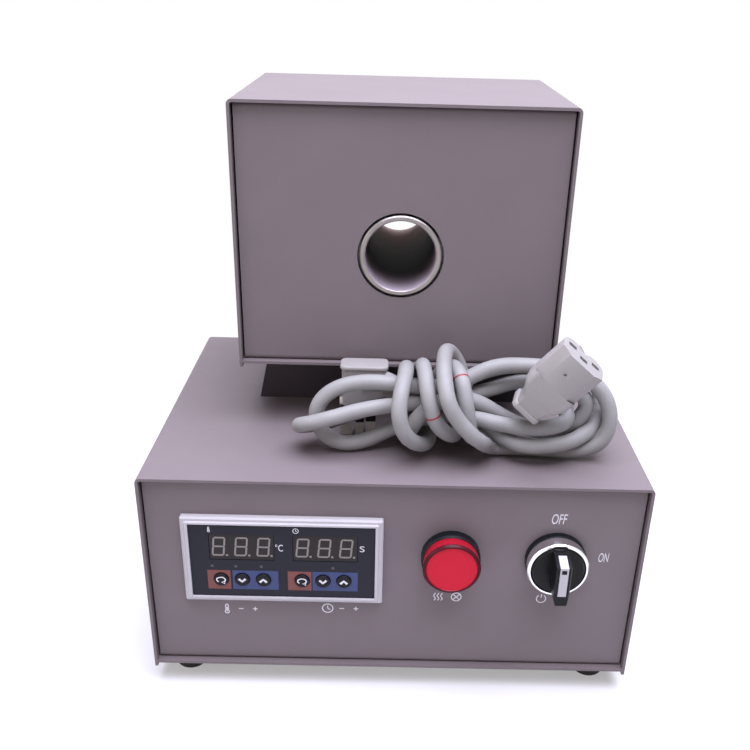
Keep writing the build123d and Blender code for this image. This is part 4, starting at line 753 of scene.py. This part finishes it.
def pin_sleeves():
    """Black sleeves that cover the upper half of the plug's flat pins."""
    bm = bmesh.new()
    for x, wide, deep in PIN_PLACES:
        half_x = wide / 2 + SLEEVE_WALL
        half_y = deep / 2 + SLEEVE_WALL
        box_into(bm, (x - half_x, PIN_Y - half_y, SLEEVE_FOOT),
                 (x + half_x, PIN_Y + half_y, PLUG_BOTTOM - SLEEVE_GAP))
    soften(bm, SLEEVE_EDGE_R, 2)
    bmesh.ops.scale(bm, verts=bm.verts, vec=(MM, MM, MM))
    return [finish_piece("pin_sleeves", mesh_of(bm, "pin_sleeves"), "black_plastic", material=PIN_SLEEVE)]


# Prints, digits and signs

def round_strokes(lines, width):
    """Round strokes along lines of (x, z) points in millimetres, each line closed or open."""
    curve = bpy.data.curves.new("strokes", "CURVE")
    curve.dimensions = "3D"
    curve.bevel_depth = width / 2
    curve.bevel_resolution = 2
    curve.use_fill_caps = True
    for points, closed in lines:
        spline = curve.splines.new("POLY")
        spline.points.add(len(points) - 1)
        for point, (x, z) in zip(spline.points, points):
            point.co = (x, 0.0, z, 1.0)
        spline.use_cyclic_u = closed
    return baked(curve, "strokes")


def arc(x, z, radius, first_deg, last_deg, count=16, squeeze=1.0):
    """Points of a round stroke, its angles counted clockwise from straight up."""
    turns = [math.radians(first_deg + (last_deg - first_deg) * i / count) for i in range(count + 1)]
    return [(x + radius * math.sin(t), z + squeeze * radius * math.cos(t)) for t in turns]


def printed(name, mesh, x, front, z, size=1.0, thick=INK, material=None, slot="white_inlay", body="housing"):
    """A flat sign drawn in X and Z round its middle, flattened to ink on a face that looks forward."""
    depth = max(v.co.y for v in mesh.vertices) - min(v.co.y for v in mesh.vertices)
    flat = Matrix.Diagonal((size, thick / depth, size, 1.0))
    mesh.transform(Matrix.Scale(MM, 4) @ Matrix.Translation((x, front, z)) @ flat)
    return finish_piece(name, mesh, slot, body, material or PANEL_INK)


def word(name, letters, x, z, width, height, front, slant=0.0):
    """Letters fitted to a width and a height."""
    data = bpy.data.curves.new(name, "FONT")
    data.body = letters
    data.extrude = 0.02
    data.shear = slant
    data.resolution_u = 6
    mesh = baked(data, name)
    low = [min(v.co[i] for v in mesh.vertices) for i in range(3)]
    high = [max(v.co[i] for v in mesh.vertices) for i in range(3)]
    middle = Vector([(a + b) / 2 for a, b in zip(low, high)])
    fit = Matrix.Diagonal((width / (high[0] - low[0]), height / (high[1] - low[1]), 1.0, 1.0))
    mesh.transform(FORWARD.to_4x4() @ fit @ Matrix.Translation(-middle))
    return printed(name, mesh, x, front, z)


def panel_signs():
    """Plain signs on the panel and in the window, ON and OFF beside the switch, and the units."""
    thermometer = [(arc(0, -1.9, 1.0, 40, 320), False), ([(-0.62, -1.1), (-0.62, 2.0)], False),
                   ([(0.62, -1.1), (0.62, 2.0)], False), (arc(0, 2.0, 0.62, -90, 90, 8), False),
                   ([(0, -1.9), (0, 0.8)], False)]
    clock = [(arc(0, 0, 2.6, 0, 345, 24), True), ([(0, 1.6), (0, 0), (1.2, -0.8)], False)]
    minus = [([(-1.2, 0), (1.2, 0)], False)]
    plus = minus + [([(0, -1.2), (0, 1.2)], False)]
    flame = [(-0.2, -2.3), (0.4, -1.5), (0.4, -0.9), (-0.4, 0.3), (-0.4, 0.9), (0.2, 1.7), (0.2, 2.3)]
    heat = [([(x + dx, z) for x, z in flame], False) for dx in (-1.7, 0.0, 1.7)]
    lamp_sign = [(arc(0, 0, 2.4, 0, 345, 24), True), ([(-1.7, -1.7), (1.7, 1.7)], False),
                 ([(-1.7, 1.7), (1.7, -1.7)], False)]
    power = [(arc(0, -0.2, 2.3, 35, 325, 20), False), ([(0, 0.4), (0, 2.5)], False)]
    mains = [([(-2.4 + i * 0.3, 0.9 * math.sin(i * math.pi / 8)) for i in range(17)], False)]
    for name, lines, x, z in (
            ("sign_temperature", thermometer, -82.0, 45.0), ("sign_temperature_down", minus, -75.0, 45.0),
            ("sign_temperature_up", plus, -68.0, 45.0), ("sign_time", clock, -32.0, 46.3),
            ("sign_time_down", minus, -25.0, 46.3), ("sign_time_up", plus, -18.0, 46.3),
            ("sign_heat", heat, 22.5, 54.8), ("sign_lamp", lamp_sign, 31.5, 54.8),
            ("sign_power", power, 73.5, 55.0), ("sign_mains", mains, 82.0, 55.0)):
        printed(name, round_strokes(lines, SIGN_STROKE), x, PANEL_Y, z)
    word("word_off", "OFF", SWITCH[0], SWITCH[1] + 22.3, 7.3, 5.6, PANEL_Y, WORD_SLANT)
    word("word_on", "ON", SWITCH[0] + 23.5, SWITCH[1] + 1.0, 5.0, 5.2, PANEL_Y, WORD_SLANT)
    for name, lines, x in (("window_temperature", thermometer, -34.5), ("window_time", clock, 6.5)):
        printed(name, round_strokes(lines, WINDOW_STROKE), METER[0] + x, WINDOW_FRONT,
                METER[1] + WINDOW_SIGN_Z, 0.5)
    word("unit_degrees", "\u00b0C", METER[0] - 1.5, METER[1] + 7.9, 3.7, 3.9, WINDOW_FRONT)
    word("unit_seconds", "S", METER[0] + 38.0, METER[1] + 8.1, 2.3, 3.3, WINDOW_FRONT)


def digits(name, first_x, pitch):
    """Three digits of seven unlit bars, leaning a little, each with its point."""
    bm = bmesh.new()
    quarter = Matrix.Rotation(math.radians(90), 3, "Z")
    half_h = (DIGIT_H - BAR_W) / 2
    half_w = (DIGIT_W - BAR_W) / 2
    flat_bars = [(0.0, dz, 0.0, 2 * half_w) for dz in (-half_h, 0.0, half_h)]
    tall_bars = [(side * half_w, up * half_h / 2, 90.0, half_h) for side in (-1, 1) for up in (-1, 1)]
    for digit in range(3):
        x = first_x + digit * pitch
        for dx, dz, turn_deg, length in flat_bars + tall_bars:
            bar = bmesh.ops.create_circle(bm, cap_ends=True, segments=6,
                                          radius=BAR_W / math.sqrt(3))["verts"]
            bmesh.ops.rotate(bm, verts=bar, cent=(0, 0, 0), matrix=quarter)
            reach = (length - BAR_W) / 2 - BAR_GAP
            for vert in bar:
                if abs(vert.co.x) > 0.01:
                    vert.co.x += math.copysign(reach, vert.co.x)
            turn = Matrix.Rotation(math.radians(turn_deg), 3, "Z")
            bmesh.ops.rotate(bm, verts=bar, cent=(0, 0, 0), matrix=turn)
            bmesh.ops.translate(bm, verts=bar, vec=(x + dx + DIGIT_LEAN * dz, dz, 0.0))
            for vert in bar:
                vert.co.x += DIGIT_LEAN * (vert.co.y - dz)
        dot = bmesh.ops.create_circle(bm, cap_ends=True, segments=12, radius=POINT_R)["verts"]
        bmesh.ops.translate(bm, verts=dot, vec=(x + DIGIT_W / 2 + POINT_AWAY, -half_h, 0.0))
    solid = bmesh.ops.extrude_face_region(bm, geom=bm.faces[:])["geom"]
    bmesh.ops.translate(bm, verts=[v for v in solid if isinstance(v, bmesh.types.BMVert)], vec=(0, 0, 0.1))
    bmesh.ops.recalc_face_normals(bm, faces=bm.faces)
    mesh = mesh_of(bm, name)
    mesh.transform(FORWARD.to_4x4())
    return printed(name, mesh, METER[0], DISPLAY_FRONT, METER[1] + DIGITS_Z, material=SEGMENT,
                   slot="display_face")


def key_fields():
    """Printed fields behind the keys: red for the set key, blue for down and up."""
    for name, left, right, material in (("field_red_1", -36.5, -25.4, RED_FIELD),
                                        ("field_blue_1", -24.45, -2.4, BLUE_FIELD),
                                        ("field_red_2", 2.2, 13.6, RED_FIELD),
                                        ("field_blue_2", 14.1, 36.0, BLUE_FIELD)):
        bm = bmesh.new()
        box_into(bm, (left, -0.1, FIELD_Z[0]), (right, 0.1, FIELD_Z[1]))
        tool = bmesh.new()
        for x in KEY_X:
            if left < x < right:
                hole = bmesh.ops.create_cone(tool, cap_ends=True, segments=48, radius1=KEY_R + FIELD_GAP,
                                             radius2=KEY_R + FIELD_GAP, depth=1.0)["verts"]
                bmesh.ops.rotate(tool, verts=hole, cent=(0, 0, 0), matrix=FORWARD)
                bmesh.ops.translate(tool, verts=hole, vec=(x, 0, KEY_Z))
        printed(name, cut_out(bm, tool, name), METER[0], WINDOW_FRONT, METER[1], material=material,
                slot="window_plastic")


def key_signs():
    """A loop arrow on each set key, and an arrow head down or up on the others."""
    loop = [(arc(0, 0.2, 2.1, 215, 505, 20, 0.68), False)]
    head = [([(0.2, -1.3), (1.9, -0.4), (1.7, -2.1), (0.2, -1.3), (1.6, -1.3)], True)]
    down = [([(-1.7, 0.9), (0, -0.7), (1.7, 0.9)], False)]
    up = [([(x, -z) for x, z in down[0][0]], False)]
    signs = ((loop + head, ARROW_STROKE), (down, CHEVRON_STROKE), (up, CHEVRON_STROKE)) * 2
    for number, (x, (lines, width)) in enumerate(zip(KEY_X, signs), 1):
        printed(f"key_sign_{number}", round_strokes(lines, width), METER[0] + x, KEY_FRONT,
                METER[1] + KEY_Z, body=f"meter_key_{number}")


def indicator_marks():
    """Small diodes behind the window, above the keys, all unlit."""
    for number, x in enumerate(DIODE_X, 1):
        name = f"diode_{number}"
        bm = bmesh.new()
        disc = bmesh.ops.create_cone(bm, cap_ends=True, segments=24, radius1=DIODE_R, radius2=DIODE_R,
                                     depth=0.2)["verts"]
        bmesh.ops.rotate(bm, verts=disc, cent=(0, 0, 0), matrix=FORWARD)
        printed(name, mesh_of(bm, name), METER[0] + x, WINDOW_FRONT, METER[1] + DIODE_Z,
                material=DARK_DIODE, slot="window_plastic")


def painted_recess_shade():
    """A black block in the small square recess in the knob's inlay: painted shade of the recess."""
    bm = bmesh.new()
    low, high = MARK_RISE
    near, far = MARK_BEHIND
    box_into(bm, (SWITCH[0] - MARK_HALF, KNOB_CREST + near, SWITCH[1] + low),
             (SWITCH[0] + MARK_HALF, KNOB_CREST + far, SWITCH[1] + high))
    bmesh.ops.scale(bm, verts=bm.verts, vec=(MM, MM, MM))
    finish_piece("painted_recess_shade", mesh_of(bm, "painted_recess_shade"), "knob_plastic", body="selector")


# Stage

def background_ray(tree):
    """One where the camera looks, and where glass or a gloss shows the background."""
    seen = node(tree, "ShaderNodeLightPath")
    direct = node(tree, "ShaderNodeMath", {0: seen.outputs["Is Camera Ray"],
                                           1: seen.outputs["Is Transmission Ray"]}, operation="MAXIMUM")
    both = node(tree, "ShaderNodeMath", {0: direct.outputs[0], 1: seen.outputs["Is Glossy Ray"]},
                operation="MAXIMUM")
    return both.outputs[0]


def stage():
    """A pale floor that keeps the shadow and fades to white, a white background and soft lamps."""
    bm = bmesh.new()
    bmesh.ops.create_grid(bm, x_segments=1, y_segments=1, size=20.0)
    floor = bpy.data.objects.new("floor", mesh_of(bm, "floor"))
    bpy.context.scene.collection.objects.link(floor)
    material = bpy.data.materials.new("floor")
    material.use_nodes = True
    tree = material.node_tree
    tree.nodes.clear()
    place = node(tree, "ShaderNodeTexCoord").outputs["Object"]
    paper = node(tree, "ShaderNodeBsdfDiffuse", {"Color": linear("#c8c6c8")})
    glow = node(tree, "ShaderNodeEmission", {"Color": linear("#ffffff"), "Strength": FLOOR_GLOW})
    lit = node(tree, "ShaderNodeAddShader", {0: paper.outputs[0], 1: glow.outputs[0]})
    white = node(tree, "ShaderNodeEmission", {"Color": linear("#ffffff"), "Strength": 1.0})
    away = node(tree, "ShaderNodeVectorMath", {0: place}, operation="LENGTH")
    fade = node(tree, "ShaderNodeMapRange",
                {"Value": away.outputs["Value"], "From Min": FADE[0], "From Max": FADE[1]},
                interpolation_type="SMOOTHSTEP")
    ground = node(tree, "ShaderNodeMixShader", {0: fade.outputs["Result"], 1: lit.outputs[0],
                                                2: white.outputs[0]})
    both = node(tree, "ShaderNodeMixShader", {0: background_ray(tree), 1: paper.outputs[0],
                                              2: ground.outputs[0]})
    node(tree, "ShaderNodeOutputMaterial", {"Surface": both.outputs[0]})
    floor.data.materials.append(material)

    world = bpy.data.worlds.new("studio")
    bpy.context.scene.world = world
    world.use_nodes = True
    tree = world.node_tree
    tree.nodes.clear()
    dim = node(tree, "ShaderNodeBackground", {"Color": linear("#f4f4f8"), "Strength": AMBIENT})
    white = node(tree, "ShaderNodeBackground", {"Color": linear("#ffffff"), "Strength": 1.0})
    both = node(tree, "ShaderNodeMixShader", {0: background_ray(tree), 1: dim.outputs[0],
                                              2: white.outputs[0]})
    node(tree, "ShaderNodeOutputWorld", {"Surface": both.outputs[0]})

    for name, place, target, size, power, colour in LAMPS:
        data = bpy.data.lights.new(name, "AREA")
        data.size = size
        data.energy = power
        data.color = linear(colour)[:3]
        lamp = bpy.data.objects.new(name, data)
        lamp.location = place
        lamp.rotation_euler = (Vector(target) - Vector(place)).to_track_quat("-Z", "Y").to_euler()
        bpy.context.scene.collection.objects.link(lamp)
    bpy.context.scene.view_settings.view_transform = "Standard"


make_camera()
dress_nodes()
cord, cord_route = mains_cord()
lead_pieces = connector_moulding() + plug_moulding() + pin_sleeves() + [inspection_bands(cord_route)]
panel_signs()
digits("digits_temperature", first_x=-30.3, pitch=10.65)
digits("digits_time", first_x=9.6, pitch=10.4)
key_fields()
key_signs()
indicator_marks()
painted_recess_shade()
stage()
